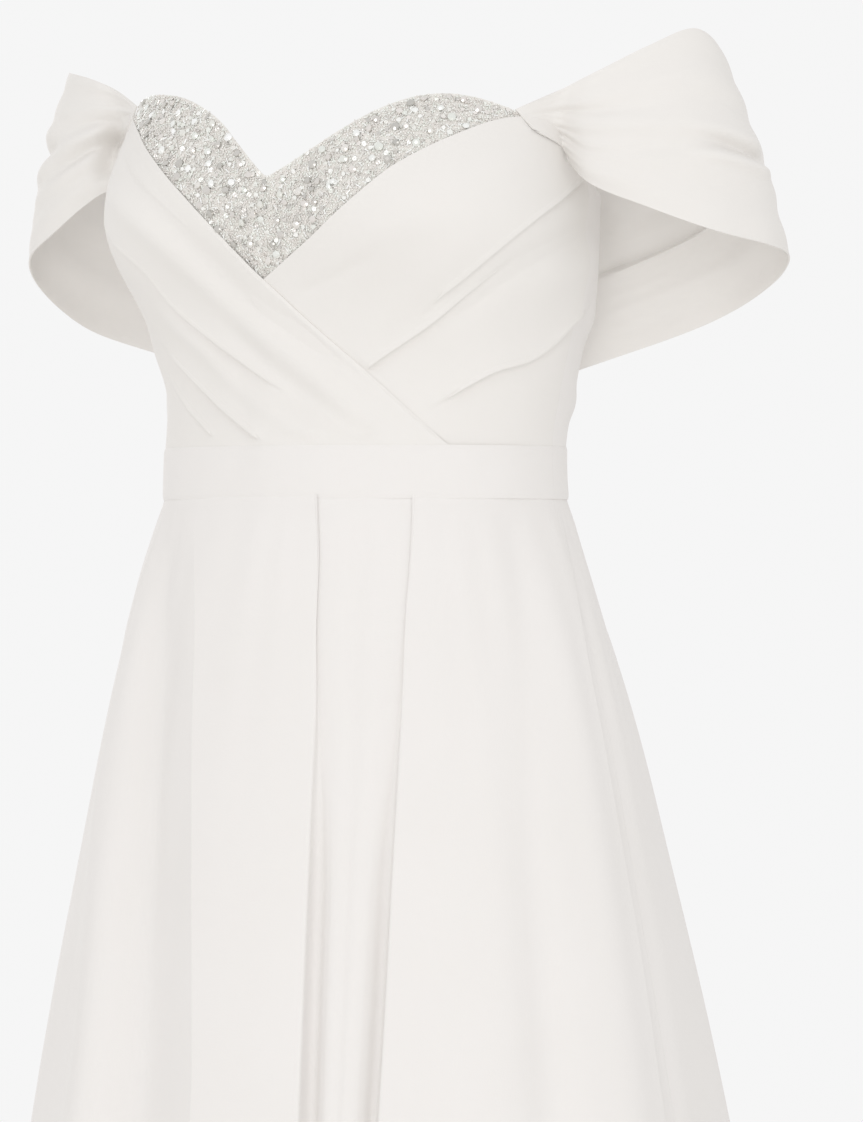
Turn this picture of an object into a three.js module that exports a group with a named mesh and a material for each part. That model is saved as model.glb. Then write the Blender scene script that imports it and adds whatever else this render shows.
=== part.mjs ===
// An off-the-shoulder evening gown, filled out as it is worn, with a hollow inside.
// Millimetres, +Z up. The front faces -Y and the wearer's left is +X.
// The origin is the middle of the waist opening, halfway up the waistband.
// A turn is an angle in degrees round the body: 0 at the centre front, 90 at the
// wearer's left side seam, -90 at the right one and 180 at the centre back.
import * as THREE from "three";

// Cloth walls and the gaps between them
const WALL = 1.5;
const BAND_WALL = 2.2;
const SEAM_GAP = 0.3;
const LAYER_GAP = 0.9;
const LAYER = WALL + LAYER_GAP;

// Heights and turns of the seams
const BAND_TOP = 15;
const BAND_BOTTOM = -15;
const HEM = -1065;
const SIDE_SEAM = 90;
const BACK_SEAM = 180;
const SEAM_TURN = 0.1;

// The layered front tapers to one layer between these turns, and the skirt under it by this
// height. The over wrap rises from one layer to two where the under wrap begins below it.
const STACK = { fullTurn: 64, noneTurn: 86, noneHeight: -90, secondFrom: -22, secondBy: -9 };

// The body form: half width, depth in front and behind, and the shift to the back
const TORSO = [
  { height: -15, width: 120.5, front: 90.5, back: 93.5, shift: 0 },
  { height: 15, width: 119.5, front: 89.5, back: 92.5, shift: 0 },
  { height: 45, width: 121.5, front: 91, back: 93.5, shift: 6 },
  { height: 75, width: 127.5, front: 94.5, back: 97, shift: 7 },
  { height: 105, width: 135.5, front: 98.5, back: 101, shift: 6 },
  { height: 135, width: 138, front: 102.5, back: 103, shift: 4 },
  { height: 165, width: 137.5, front: 102.5, back: 103.5, shift: 4 },
  { height: 195, width: 135.5, front: 96.5, back: 102.5, shift: 3 },
  { height: 225, width: 131.5, front: 87.5, back: 100.5, shift: 2 },
];

// Each cup swells from the form at this turn either side of the centre front
const CUP = { turn: 40, height: 148, out: 27, spread: 24, above: 45, below: 36 };

// The sequinned insert's sweetheart edge
const NECKLINE = [
  { turn: -61, height: 216 },
  { turn: -48, height: 219 },
  { turn: -36, height: 217.5 },
  { turn: -22, height: 208 },
  { turn: -11, height: 190 },
  { turn: -4.5, height: 174 },
  { turn: 0.5, height: 166 },
  { turn: 5.5, height: 171.5 },
  { turn: 14.5, height: 187.5 },
  { turn: 24, height: 202 },
  { turn: 33, height: 210 },
  { turn: 42.5, height: 212 },
  { turn: 52.5, height: 208.5 },
  { turn: 62, height: 203 },
];

// The crossing edge of the over wrap, from the wearer's right neckline corner to the waist
const WRAP_LIFT_FROM = -76;
const OVER_EDGE = [
  { turn: -61, height: 213 },
  { turn: -45, height: 202 },
  { turn: -30, height: 183 },
  { turn: -16, height: 150.5 },
  { turn: -9.5, height: 129 },
  { turn: -2.5, height: 108.5 },
  { turn: 6, height: 87 },
  { turn: 17, height: 65 },
  { turn: 32, height: 40 },
  { turn: 46, height: 19 },
  { turn: 50, height: 14.5 },
];

// The two wraps cross at this turn, and the under wrap starts a little beyond it
const CROSSING = -2.5;
const UNDER_START = -5.5;

// The upper edge of the under wrap, from below the crossing to the left neckline corner
const UNDER_EDGE = [
  { turn: -6, height: 103 },
  { turn: -2.5, height: 108.5 },
  { turn: 8, height: 126.5 },
  { turn: 20.5, height: 148 },
  { turn: 31, height: 169 },
  { turn: 42, height: 185.5 },
  { turn: 55, height: 198 },
  { turn: 62, height: 202.5 },
];

// The armhole and back neckline, the same on each side
const ARMHOLE = [
  { turn: 62, height: 203 },
  { turn: 65, height: 197 },
  { turn: 70.5, height: 184.5 },
  { turn: 79, height: 169 },
  { turn: 90, height: 156 },
  { turn: 100, height: 154 },
  { turn: 113, height: 161 },
  { turn: 127, height: 171 },
  { turn: 150, height: 171 },
  { turn: 180, height: 167 },
];
const INSERT_UNDERLAP = 17;
const WRAP_UNDERLAP = 25;

// Folds pressed into the wraps, each a soft ridge between two places
const OVER_FOLDS = [
  { fromTurn: -58, fromHeight: 178, toTurn: 14, toHeight: 24, rise: 3.2, spread: 9 },
  { fromTurn: -40, fromHeight: 176, toTurn: 32, toHeight: 18, rise: 2.4, spread: 8 },
  { fromTurn: -52, fromHeight: 84, toTurn: 6, toHeight: 14, rise: 2.6, spread: 7 },
];
const UNDER_FOLDS = [
  { fromTurn: 74, fromHeight: 156, toTurn: 22, toHeight: 60, rise: 3.4, spread: 8 },
  { fromTurn: 88, fromHeight: 96, toTurn: 46, toHeight: 46, rise: 3.2, spread: 8 },
  { fromTurn: 62, fromHeight: 182, toTurn: 8, toHeight: 96, rise: 2, spread: 9 },
];
// The folds fade within this distance of a panel's edge and this height of the waist, and
// over these shares of their own length
const FOLD_CLEAR = 14;
const FOLD_FOOT = 40;
const FOLD_ENDS = { from: -0.1, full: 0.15 };
const MM_PER_DEGREE = 2.3;

// The skirt's form
const SKIRT = [
  { height: -15, width: 119.8, front: 91, back: 93, shift: 0 },
  { height: -60, width: 135, front: 106, back: 108, shift: 0 },
  { height: -110, width: 149.5, front: 117, back: 121, shift: 1 },
  { height: -160, width: 161, front: 129, back: 135, shift: 3 },
  { height: -210, width: 170.5, front: 139, back: 147, shift: 5 },
  { height: -300, width: 187.5, front: 156, back: 168, shift: 8.5 },
  { height: -450, width: 212, front: 182, back: 201, shift: 13 },
  { height: -750, width: 256, front: 226, back: 262, shift: 26 },
  { height: -1065, width: 300, front: 268, back: 318, shift: 34 },
];
const SKIRT_ROWS = [
  -15, -40, -70, -110, -160, -220, -300, -390, -500, -620, -750, -880, -980, -1065,
];

// Loose folds down the skirt: a ridge or trough that grows from its start to the hem
const SKIRT_FOLDS = [
  { top: -50, hem: 2, start: -30, out: -20, spread: 10 },
  { top: -64, hem: -27, start: -60, out: 16, spread: 11 },
  { top: -74, hem: -62, start: -120, out: -9, spread: 12 },
  { top: -20, hem: -10, start: -260, out: 12, spread: 8 },
  { top: 52, hem: 46, start: -20, out: -10, spread: 8 },
  { top: 64, hem: 62, start: -200, out: 13, spread: 10 },
  { top: 96, hem: 80, start: -15, out: 15, spread: 9 },
  { top: 112, hem: 100, start: -40, out: -19, spread: 12 },
  { top: 132, hem: 124, start: -90, out: 20, spread: 11 },
  { top: 150, hem: 147, start: -50, out: -19, spread: 10 },
  { top: 168, hem: 169, start: -70, out: 17, spread: 9 },
  { top: -166, hem: -165, start: -60, out: 18, spread: 9 },
  { top: -148, hem: -143, start: -50, out: -18, spread: 11 },
  { top: -126, hem: -120, start: -80, out: 20, spread: 12 },
  { top: -106, hem: -98, start: -40, out: -17, spread: 10 },
];

// The inverted pleat: two fold edges that face each other over a set-back panel
const PLEAT_EDGES = [
  { height: -15, left: 9, right: 35.8 },
  { height: -95, left: 11.5, right: 32.2 },
  { height: -190, left: 12.4, right: 29.4 },
  { height: -360, left: 12, right: 25.2 },
  { height: -700, left: 11.5, right: 22 },
  { height: -1065, left: 11, right: 20 },
];
const PLEAT_OPENS_TO = 4.2;
const PLEAT_FOLD = [
  { along: -14, depth: 0 },
  { along: -2, depth: 0 },
  { along: 0, depth: 1.1 },
  { along: -2, depth: 2.2 },
  { along: -9, depth: 2.2 },
  { along: -11, depth: 3.3 },
  { along: -9, depth: 4.4 },
  { along: 1, depth: 4.4 },
];

// Sections of a sleeve from the front gather round the arm to the back seam: where its top
// edge and its hem run, with heights that differ a little from side to side as the cloth hangs
const SLEEVE_SECTIONS = [
  { topX: 145, topY: -37, topLeft: 214, topRight: 224, hemX: 138.5, hemY: -22, hemLeft: 181, hemRight: 182 },
  { topX: 163, topY: -31, topLeft: 223, topRight: 231, hemX: 161, hemY: -32, hemLeft: 165, hemRight: 168 },
  { topX: 189, topY: -13, topLeft: 239, topRight: 237, hemX: 193, hemY: -27, hemLeft: 148, hemRight: 143 },
  { topX: 205, topY: 12, topLeft: 249.5, topRight: 239, hemX: 224, hemY: -5, hemLeft: 135, hemRight: 129 },
  { topX: 208, topY: 42, topLeft: 238, topRight: 232, hemX: 241, hemY: 32, hemLeft: 128, hemRight: 115 },
  { topX: 196, topY: 70, topLeft: 224, topRight: 219, hemX: 235, hemY: 74, hemLeft: 123, hemRight: 92 },
  { topX: 174, topY: 86, topLeft: 206, topRight: 203, hemX: 211, hemY: 102, hemLeft: 109, hemRight: 79 },
  { topX: 146, topY: 87, topLeft: 188, topRight: 187, hemX: 166, hemY: 114, hemLeft: 88, hemRight: 67 },
];
const SLEEVE = {
  armX: 166,
  armY: 42,
  frontTurn: 62.6,
  frontTop: 1,
  frontHem: 9,
  frontOut: 0.3,
  backOut: 3.1,
  backFrom: 96,
  backTurn: 127,
  backTop: 166,
  backHem: 59,
  bulge: 3.5,
  folds: 4.5,
  foldDepth: 3.4,
  fan: 0.22,
};

const GRID = {
  bodiceRows: 13,
  skirtRightColumns: 17,
  skirtLeftColumns: 12,
  backColumns: 20,
  sleeveColumns: 24,
  sleeveRows: 16,
};

/** Smooth step from 0 to 1 as value goes from low to high. */
function ease(value, low, high) {
  return THREE.MathUtils.smoothstep(value, low, high);
}

/** Reads one column of a table by a smooth curve through its rows. */
function read(table, key, column, value) {
  const falling = table[0][key] > table[table.length - 1][key];
  const rows = falling ? [...table].reverse() : table;
  const last = rows.length - 1;
  const at = THREE.MathUtils.clamp(value, rows[0][key], rows[last][key]);
  let k = 0;
  while (k < last - 1 && at > rows[k + 1][key]) k += 1;
  const slope = (i) => {
    const before = rows[Math.max(i - 1, 0)];
    const after = rows[Math.min(i + 1, last)];
    return (after[column] - before[column]) / (after[key] - before[key]);
  };
  const step = rows[k + 1][key] - rows[k][key];
  const q = (at - rows[k][key]) / step;
  const rise = q * q * (3 - 2 * q);
  const startPull = q * (1 - q) * (1 - q) * step * slope(k);
  const endPull = q * q * (q - 1) * step * slope(k + 1);
  return rows[k][column] * (1 - rise) + rows[k + 1][column] * rise + startPull + endPull;
}

/** How many layers' room the cloth leaves under it: 1 over the front, 0 at the sides. */
function stack(turn) {
  return 1 - ease(Math.abs(turn), STACK.fullTurn, STACK.noneTurn);
}

/** The over wrap leaves room for one layer on its own side and for two past the crossing. */
function overStack(turn) {
  return stack(turn) * (1 + ease(turn, STACK.secondFrom, STACK.secondBy));
}

/** A point on an oval ring of a form table, moved out level from its curve. */
function ringPoint(form, turn, height, out) {
  const angle = THREE.MathUtils.degToRad(turn);
  const width = read(form, "height", "width", height);
  const depth = read(form, "height", Math.cos(angle) > 0 ? "front" : "back", height);
  const shift = read(form, "height", "shift", height);
  const outward = new THREE.Vector3(depth * Math.sin(angle), -width * Math.cos(angle), 0);
  outward.normalize().multiplyScalar(out);
  const onRing = new THREE.Vector3(width * Math.sin(angle), shift - depth * Math.cos(angle), height);
  return onRing.add(outward);
}

/** How far the two cups stand out of the form. */
function cupOut(turn, height) {
  const rise = height - CUP.height;
  const upright = Math.exp(-0.5 * (rise / (rise > 0 ? CUP.above : CUP.below)) ** 2);
  const across = (side) => Math.exp(-0.5 * ((turn - side * CUP.turn) / CUP.spread) ** 2);
  return CUP.out * upright * (across(-1) + across(1));
}

/** A point on the bodice, a given distance out of the innermost layer. */
function bodicePoint(turn, height, out) {
  return ringPoint(TORSO, turn, height, out + cupOut(turn, height));
}

/** How high the pressed folds stand at a place on a wrap. */
function foldRise(folds, turn, height) {
  let total = 0;
  for (const fold of folds) {
    const run = new THREE.Vector2(
      (fold.toTurn - fold.fromTurn) * MM_PER_DEGREE,
      fold.toHeight - fold.fromHeight,
    );
    const here = new THREE.Vector2(
      (turn - fold.fromTurn) * MM_PER_DEGREE,
      height - fold.fromHeight,
    );
    const along = here.dot(run) / run.lengthSq();
    const across = here.cross(run) / run.length();
    const starts = ease(along, FOLD_ENDS.from, FOLD_ENDS.full);
    const ends = ease(1 - along, FOLD_ENDS.from, FOLD_ENDS.full) * starts;
    total += fold.rise * ends * Math.exp(-0.5 * (across / fold.spread) ** 2);
  }
  return total;
}

/** Makes one closed wall from a grid of inner and outer points. */
function wall(name, color, inner, outer) {
  const columns = outer.length;
  const rows = outer[0].length;
  const positions = [];
  for (const side of [outer, inner]) {
    for (const column of side) {
      for (const point of column) positions.push(point.x, point.y, point.z);
    }
  }
  const faces = [];
  const at = (side, i, j) => side * columns * rows + i * rows + j;
  const quad = (a, b, c, d) => faces.push(a, b, c, a, c, d);
  for (let i = 0; i < columns - 1; i += 1) {
    for (let j = 0; j < rows - 1; j += 1) {
      quad(at(0, i, j), at(0, i + 1, j), at(0, i + 1, j + 1), at(0, i, j + 1));
      quad(at(1, i, j), at(1, i, j + 1), at(1, i + 1, j + 1), at(1, i + 1, j));
    }
    quad(at(1, i, 0), at(1, i + 1, 0), at(0, i + 1, 0), at(0, i, 0));
    const top = rows - 1;
    quad(at(0, i, top), at(0, i + 1, top), at(1, i + 1, top), at(1, i, top));
  }
  for (let j = 0; j < rows - 1; j += 1) {
    quad(at(0, 0, j), at(0, 0, j + 1), at(1, 0, j + 1), at(1, 0, j));
    const end = columns - 1;
    quad(at(1, end, j), at(1, end, j + 1), at(0, end, j + 1), at(0, end, j));
  }
  if (signedVolume(positions, faces) < 0) faces.reverse();
  const geometry = new THREE.BufferGeometry();
  geometry.setAttribute("position", new THREE.Float32BufferAttribute(positions, 3));
  geometry.setIndex(faces);
  geometry.computeVertexNormals();
  const material = new THREE.MeshStandardMaterial({
    color,
    roughness: 0.8,
    metalness: 0,
    side: THREE.DoubleSide,
  });
  const mesh = new THREE.Mesh(geometry, material);
  mesh.name = name;
  return mesh;
}

/** Six times the volume inside a set of faces, negative when they point in. */
function signedVolume(positions, faces) {
  const corner = (index) => new THREE.Vector3().fromArray(positions, index * 3);
  let total = 0;
  for (let k = 0; k < faces.length; k += 3) {
    const cross = corner(faces[k + 1]).cross(corner(faces[k + 2]));
    total += corner(faces[k]).dot(cross);
  }
  return total;
}

/** Evenly spaced values, both ends included. */
function spaced(from, to, count) {
  return Array.from({ length: count }, (_, k) => from + ((to - from) * k) / (count - 1));
}

/** A bodice panel between two turns, with its lower and upper edge as functions of the turn. */
function bodicePanel({ name, color, turns, rows, low, high, outAt }) {
  const build = (extra) =>
    turns.map((turn) =>
      spaced(low(turn), high(turn), rows).map((height) =>
        bodicePoint(turn, height, outAt(turn, height) + extra),
      ),
    );
  return wall(name, color, build(0), build(WALL));
}

const armholeHeight = (turn) => read(ARMHOLE, "turn", "height", Math.abs(turn));
const overEdge = (turn) => read(OVER_EDGE, "turn", "height", turn);
const underEdge = (turn) => read(UNDER_EDGE, "turn", "height", turn);
const BODICE_FOOT = BAND_TOP + SEAM_GAP / 2;

/** The right armhole starts from the over wrap's higher corner and joins the common edge. */
function overTop(turn) {
  const corner = OVER_EDGE[0];
  if (turn > corner.turn) return overEdge(turn);
  const lift = corner.height - ARMHOLE[0].height;
  return armholeHeight(turn) + lift * ease(turn, WRAP_LIFT_FROM, corner.turn);
}

/** The sequinned insert, the innermost layer, which runs a little way under both wraps. */
function sweetheartInsert() {
  const wrapEdge = (turn) => (turn < CROSSING ? overEdge(turn) : underEdge(turn));
  return bodicePanel({
    name: "sweetheart_insert",
    color: "#dcdad5",
    turns: spaced(-61.5, 61.5, 42),
    rows: 7,
    low: (turn) => wrapEdge(turn) - INSERT_UNDERLAP,
    high: (turn) => read(NECKLINE, "turn", "height", turn),
    outAt: () => 0,
  });
}

/** The wearer's left front, which runs a little way under the over wrap. */
function wrapUnder() {
  const top = (turn) => (turn < UNDER_EDGE.at(-1).turn ? underEdge(turn) : armholeHeight(turn));
  const hidden = (turn) => (turn < OVER_EDGE.at(-1).turn ? overEdge(turn) : 0);
  return bodicePanel({
    name: "wrap_under",
    color: "#edebe7",
    turns: spaced(UNDER_START, SIDE_SEAM - SEAM_TURN, 30),
    rows: GRID.bodiceRows,
    low: (turn) => Math.max(BODICE_FOOT, hidden(turn) - WRAP_UNDERLAP),
    high: top,
    outAt: (turn, height) => {
      const clear = ease(height - hidden(turn), 1, FOLD_CLEAR) * stack(turn);
      const ends = ease(top(turn) - height, 0, FOLD_CLEAR) * ease(height, BAND_TOP, FOLD_FOOT);
      return LAYER * stack(turn) + foldRise(UNDER_FOLDS, turn, height) * ends * clear;
    },
  });
}

/** The wearer's right front, which crosses over to the left side of the waist. */
function wrapOver() {
  return bodicePanel({
    name: "wrap_over",
    color: "#edebe7",
    turns: spaced(SEAM_TURN - SIDE_SEAM, OVER_EDGE.at(-1).turn - 1, 42),
    rows: GRID.bodiceRows,
    low: () => BODICE_FOOT,
    high: (turn) => Math.max(overTop(turn), BODICE_FOOT + 1.2),
    outAt: (turn, height) => {
      const ends = ease(overTop(turn) - height, 0, FOLD_CLEAR) * ease(height, BAND_TOP, FOLD_FOOT);
      return LAYER * overStack(turn) + foldRise(OVER_FOLDS, turn, height) * ends * stack(turn);
    },
  });
}

/** One half of the bodice back, from a side seam to the centre back seam. */
function bodiceBack(name, side) {
  return bodicePanel({
    name,
    color: "#ecebe7",
    turns: spaced(SIDE_SEAM + SEAM_TURN, BACK_SEAM - SEAM_TURN, 13).map((turn) => turn * side),
    rows: GRID.bodiceRows,
    low: () => BODICE_FOOT,
    high: armholeHeight,
    outAt: () => 0,
  });
}

/** A length of waistband between two turns. */
function waistband(name, from, to, count) {
  const foot = BAND_BOTTOM + SEAM_GAP / 2;
  const head = BAND_TOP - SEAM_GAP / 2;
  const build = (extra) =>
    spaced(from, to, count).map((turn) =>
      [foot, head].map((height) => bodicePoint(turn, height, LAYER * overStack(turn) + extra)),
    );
  return wall(name, "#f2eeec", build(0), build(BAND_WALL));
}

/** How far the loose folds move the skirt out at a place. */
function skirtFoldOut(turn, height) {
  const down = (BAND_BOTTOM - height) / (BAND_BOTTOM - HEM);
  let total = 0;
  for (const fold of SKIRT_FOLDS) {
    const middle = THREE.MathUtils.lerp(fold.top, fold.hem, down ** 0.6);
    const away = THREE.MathUtils.euclideanModulo(turn - middle + 180, 360) - 180;
    const growth = Math.max(0, (fold.start - height) / (fold.start - HEM)) ** 0.75;
    total += fold.out * growth * Math.exp(-0.5 * (away / fold.spread) ** 2);
  }
  return total;
}

/** The turn that takes half a seam gap at a height of the skirt. */
function skirtInset(height) {
  return THREE.MathUtils.radToDeg((0.85 * SEAM_GAP) / read(SKIRT, "height", "front", height));
}

/** One ring of the skirt at a height: the middle line of its cloth as the turns go round. */
function skirtRing(places, height) {
  return places.map(({ turn, depth }) => {
    const room = LAYER * overStack(turn) * ease(height, STACK.noneHeight, BAND_BOTTOM);
    return ringPoint(SKIRT, turn, height, room + WALL / 2 + skirtFoldOut(turn, height) - depth);
  });
}

/** Moves a middle line half a wall to each side, level, and gives both lines. */
function thicken(line, thickness) {
  const last = line.length - 1;
  const sides = { inner: [], outer: [] };
  line.forEach((point, k) => {
    const before = line[Math.max(k - 1, 0)];
    const after = line[Math.min(k + 1, last)];
    const inRun = point.clone().sub(before).setZ(0).normalize();
    const outRun = after.clone().sub(point).setZ(0).normalize();
    const run = inRun.add(outRun).normalize();
    const outward = new THREE.Vector3(run.y, -run.x, 0).multiplyScalar(thickness / 2);
    sides.outer.push(point.clone().add(outward));
    sides.inner.push(point.clone().sub(outward));
  });
  return sides;
}

/** Turns rings of a skirt, each a list of places, into a panel's closed wall. */
function skirtPanel(name, placesAt) {
  const heights = SKIRT_ROWS.map((height, k) => (k === 0 ? BAND_BOTTOM - SEAM_GAP / 2 : height));
  const rings = heights.map((height) => thicken(skirtRing(placesAt(height), height), WALL));
  const columns = rings[0].outer.map((_, i) => i);
  const pick = (side) => columns.map((i) => rings.map((ring) => ring[side][i]));
  return wall(name, "#f1eeea", pick("inner"), pick("outer"));
}

/** The front of the skirt, with its inverted pleat. */
function skirtFront() {
  const placesAt = (height) => {
    const down = (BAND_BOTTOM - height) / (BAND_BOTTOM - HEM);
    const opening = THREE.MathUtils.lerp(1, PLEAT_OPENS_TO, ease(down, 0, 0.5));
    const leftEdge = read(PLEAT_EDGES, "height", "left", height);
    const rightEdge = read(PLEAT_EDGES, "height", "right", height);
    const perDegree = (Math.PI / 180) * read(SKIRT, "height", "width", height);
    const folded = (edge, side) =>
      PLEAT_FOLD.map(({ along, depth }) => ({
        turn: edge + (side * along) / perDegree,
        depth: depth * opening,
      }));
    const left = folded(leftEdge, 1);
    const right = folded(rightEdge, -1).reverse();
    const start = skirtInset(height) - SIDE_SEAM;
    const end = SIDE_SEAM - skirtInset(height);
    const plain = (from, to, count) =>
      spaced(from, to, count).map((turn) => ({ turn, depth: 0 }));
    const before = plain(start, left[0].turn, GRID.skirtRightColumns).slice(0, -1);
    const after = plain(right.at(-1).turn, end, GRID.skirtLeftColumns).slice(1);
    const floorDepth = left.at(-1).depth;
    const floor = spaced(left.at(-1).turn, right[0].turn, 6)
      .slice(1, -1)
      .map((turn) => ({ turn, depth: floorDepth }));
    return [...before, ...left, ...floor, ...right, ...after];
  };
  return skirtPanel("skirt_front", placesAt);
}

/** One half of the back of the skirt. */
function skirtBack(name, side) {
  return skirtPanel(name, (height) => {
    const inset = skirtInset(height);
    const turns = spaced(SIDE_SEAM + inset, BACK_SEAM - inset, GRID.backColumns);
    const ordered = side > 0 ? turns : turns.map((turn) => -turn).reverse();
    return ordered.map((turn) => ({ turn, depth: 0 }));
  });
}

/** The sleeve's top edge and hem as smooth curves, for the wearer's left or right. */
function sleeveEdges(side) {
  const hand = side > 0 ? "Left" : "Right";
  const corner = side > 0 ? NECKLINE.at(-1).height : NECKLINE[0].height;
  const front = (drop) => bodicePoint(side * SLEEVE.frontTurn, corner - drop, SLEEVE.frontOut);
  const back = (height) => bodicePoint(side * SLEEVE.backTurn, height, SLEEVE.backOut);
  const along = (edge) =>
    SLEEVE_SECTIONS.map(
      (row) => new THREE.Vector3(side * row[`${edge}X`], row[`${edge}Y`], row[edge + hand]),
    );
  const curve = (points) => new THREE.CatmullRomCurve3(points, false, "centripetal");
  return {
    top: curve([front(SLEEVE.frontTop), ...along("top"), back(SLEEVE.backTop)]),
    hem: curve([front(SLEEVE.frontHem), ...along("hem"), back(SLEEVE.backHem)]),
  };
}

/** Keeps a place on the sleeve just outside the bodice back, which it lies on at its end. */
function clearOfBack(point) {
  const width = read(TORSO, "height", "width", point.z);
  const depth = read(TORSO, "height", "back", point.z);
  const across = point.x / width;
  const behind = (point.y - read(TORSO, "height", "shift", point.z)) / depth;
  const turn = THREE.MathUtils.radToDeg(Math.atan2(across, -behind));
  const seat = bodicePoint(turn, point.z, SLEEVE.backOut);
  const inside = Math.hypot(point.x, point.y) < Math.hypot(seat.x, seat.y);
  return inside && Math.abs(turn) > SLEEVE.backFrom ? seat : point;
}

/** One sleeve: a draped band round the arm, gathered in front and fanned behind. */
function sleeve(name, side) {
  const { top, hem } = sleeveEdges(side);
  const steps = spaced(0, 1, GRID.sleeveColumns);
  const across = spaced(0, 1, GRID.sleeveRows);
  const middle = new THREE.Vector3(side * SLEEVE.armX, SLEEVE.armY, 0);
  const surface = (s, w) => {
    const upper = top.getPoint(s);
    const lower = hem.getPoint(s);
    const point = upper.clone().lerp(lower, w);
    const outward = point.clone().sub(middle).setZ(0).normalize();
    const fan = ease(s, 0, SLEEVE.fan) * (1 - ease(s, 1 - SLEEVE.fan, 1));
    const ripple = SLEEVE.foldDepth * Math.sin(2 * Math.PI * SLEEVE.folds * w ** 0.9);
    const inside = Math.sin(Math.PI * w);
    const out = SLEEVE.bulge * inside + ripple * Math.sqrt(Math.abs(inside));
    return clearOfBack(point.addScaledVector(outward, out * fan));
  };
  const shell = (extra) =>
    steps.map((s) =>
      across.map((w) => {
        const near = 0.004;
        const alongS = surface(Math.min(s + near, 1), w).sub(surface(Math.max(s - near, 0), w));
        const alongW = surface(s, Math.min(w + near, 1)).sub(surface(s, Math.max(w - near, 0)));
        const normal = alongS.cross(alongW).normalize();
        return surface(s, w).addScaledVector(normal, extra);
      }),
    );
  return wall(name, "#eae8e7", shell(-WALL / 2), shell(WALL / 2));
}

const garment = new THREE.Group();
garment.add(
  sweetheartInsert(),
  wrapUnder(),
  wrapOver(),
  bodiceBack("bodice_back_left", 1),
  bodiceBack("bodice_back_right", -1),
  waistband("waistband_front", SEAM_TURN - SIDE_SEAM, SIDE_SEAM - SEAM_TURN, 37),
  waistband("waistband_back_left", SIDE_SEAM + SEAM_TURN, BACK_SEAM - SEAM_TURN, 17),
  waistband("waistband_back_right", SEAM_TURN - BACK_SEAM, -SIDE_SEAM - SEAM_TURN, 17),
  sleeve("sleeve_left", 1),
  sleeve("sleeve_right", -1),
  skirtFront(),
  skirtBack("skirt_back_left", 1),
  skirtBack("skirt_back_right", -1),
);

export default garment;
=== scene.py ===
"""An off-the-shoulder evening gown in ivory crepe and chiffon, filled out as it is worn.

Every size is in millimetres, in the gown's own frame: the origin is the middle of the waist
opening, +Z is up, the front faces -Y and the wearer's left is +X. A turn is an angle in
degrees round the body: 0 at the centre front, 90 at the wearer's left side seam, -90 at the
right one and 180 at the centre back.
"""

import logging
import math
from collections.abc import Callable, Iterator
from contextlib import contextmanager
from dataclasses import dataclass
from enum import Enum

import bpy
import numpy as np
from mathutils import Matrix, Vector


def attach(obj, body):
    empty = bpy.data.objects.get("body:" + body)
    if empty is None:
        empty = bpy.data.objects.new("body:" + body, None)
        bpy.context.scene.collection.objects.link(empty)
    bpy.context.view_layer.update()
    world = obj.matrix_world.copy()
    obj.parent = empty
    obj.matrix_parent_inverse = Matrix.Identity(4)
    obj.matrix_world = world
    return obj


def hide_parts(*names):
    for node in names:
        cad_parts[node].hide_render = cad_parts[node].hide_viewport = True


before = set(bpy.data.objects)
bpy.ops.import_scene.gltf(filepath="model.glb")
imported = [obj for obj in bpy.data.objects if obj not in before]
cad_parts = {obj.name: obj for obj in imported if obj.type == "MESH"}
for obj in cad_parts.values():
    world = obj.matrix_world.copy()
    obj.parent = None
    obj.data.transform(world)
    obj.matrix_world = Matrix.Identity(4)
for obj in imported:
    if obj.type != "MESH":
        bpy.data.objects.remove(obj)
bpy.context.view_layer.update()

MM = 0.001
Array = np.ndarray
Piece = bpy.types.Object
LOG = logging.getLogger("gown")


def unit(vectors: Array) -> Array:
    """Brings vectors, in the last axis, to the length 1."""
    return vectors / np.linalg.norm(vectors, axis=-1, keepdims=True)


def ease(value: Array | float, low: float, high: float) -> Array:
    """Goes smoothly from 0 to 1 as a value goes from low to high.

    Args:
        value: One value or many.
        low: Where the result leaves 0.
        high: Where it reaches 1.

    Returns:
        The result for each value.
    """
    share = np.clip((np.asarray(value, float) - low) / (high - low), 0.0, 1.0)
    return share * share * (3.0 - 2.0 * share)


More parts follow.
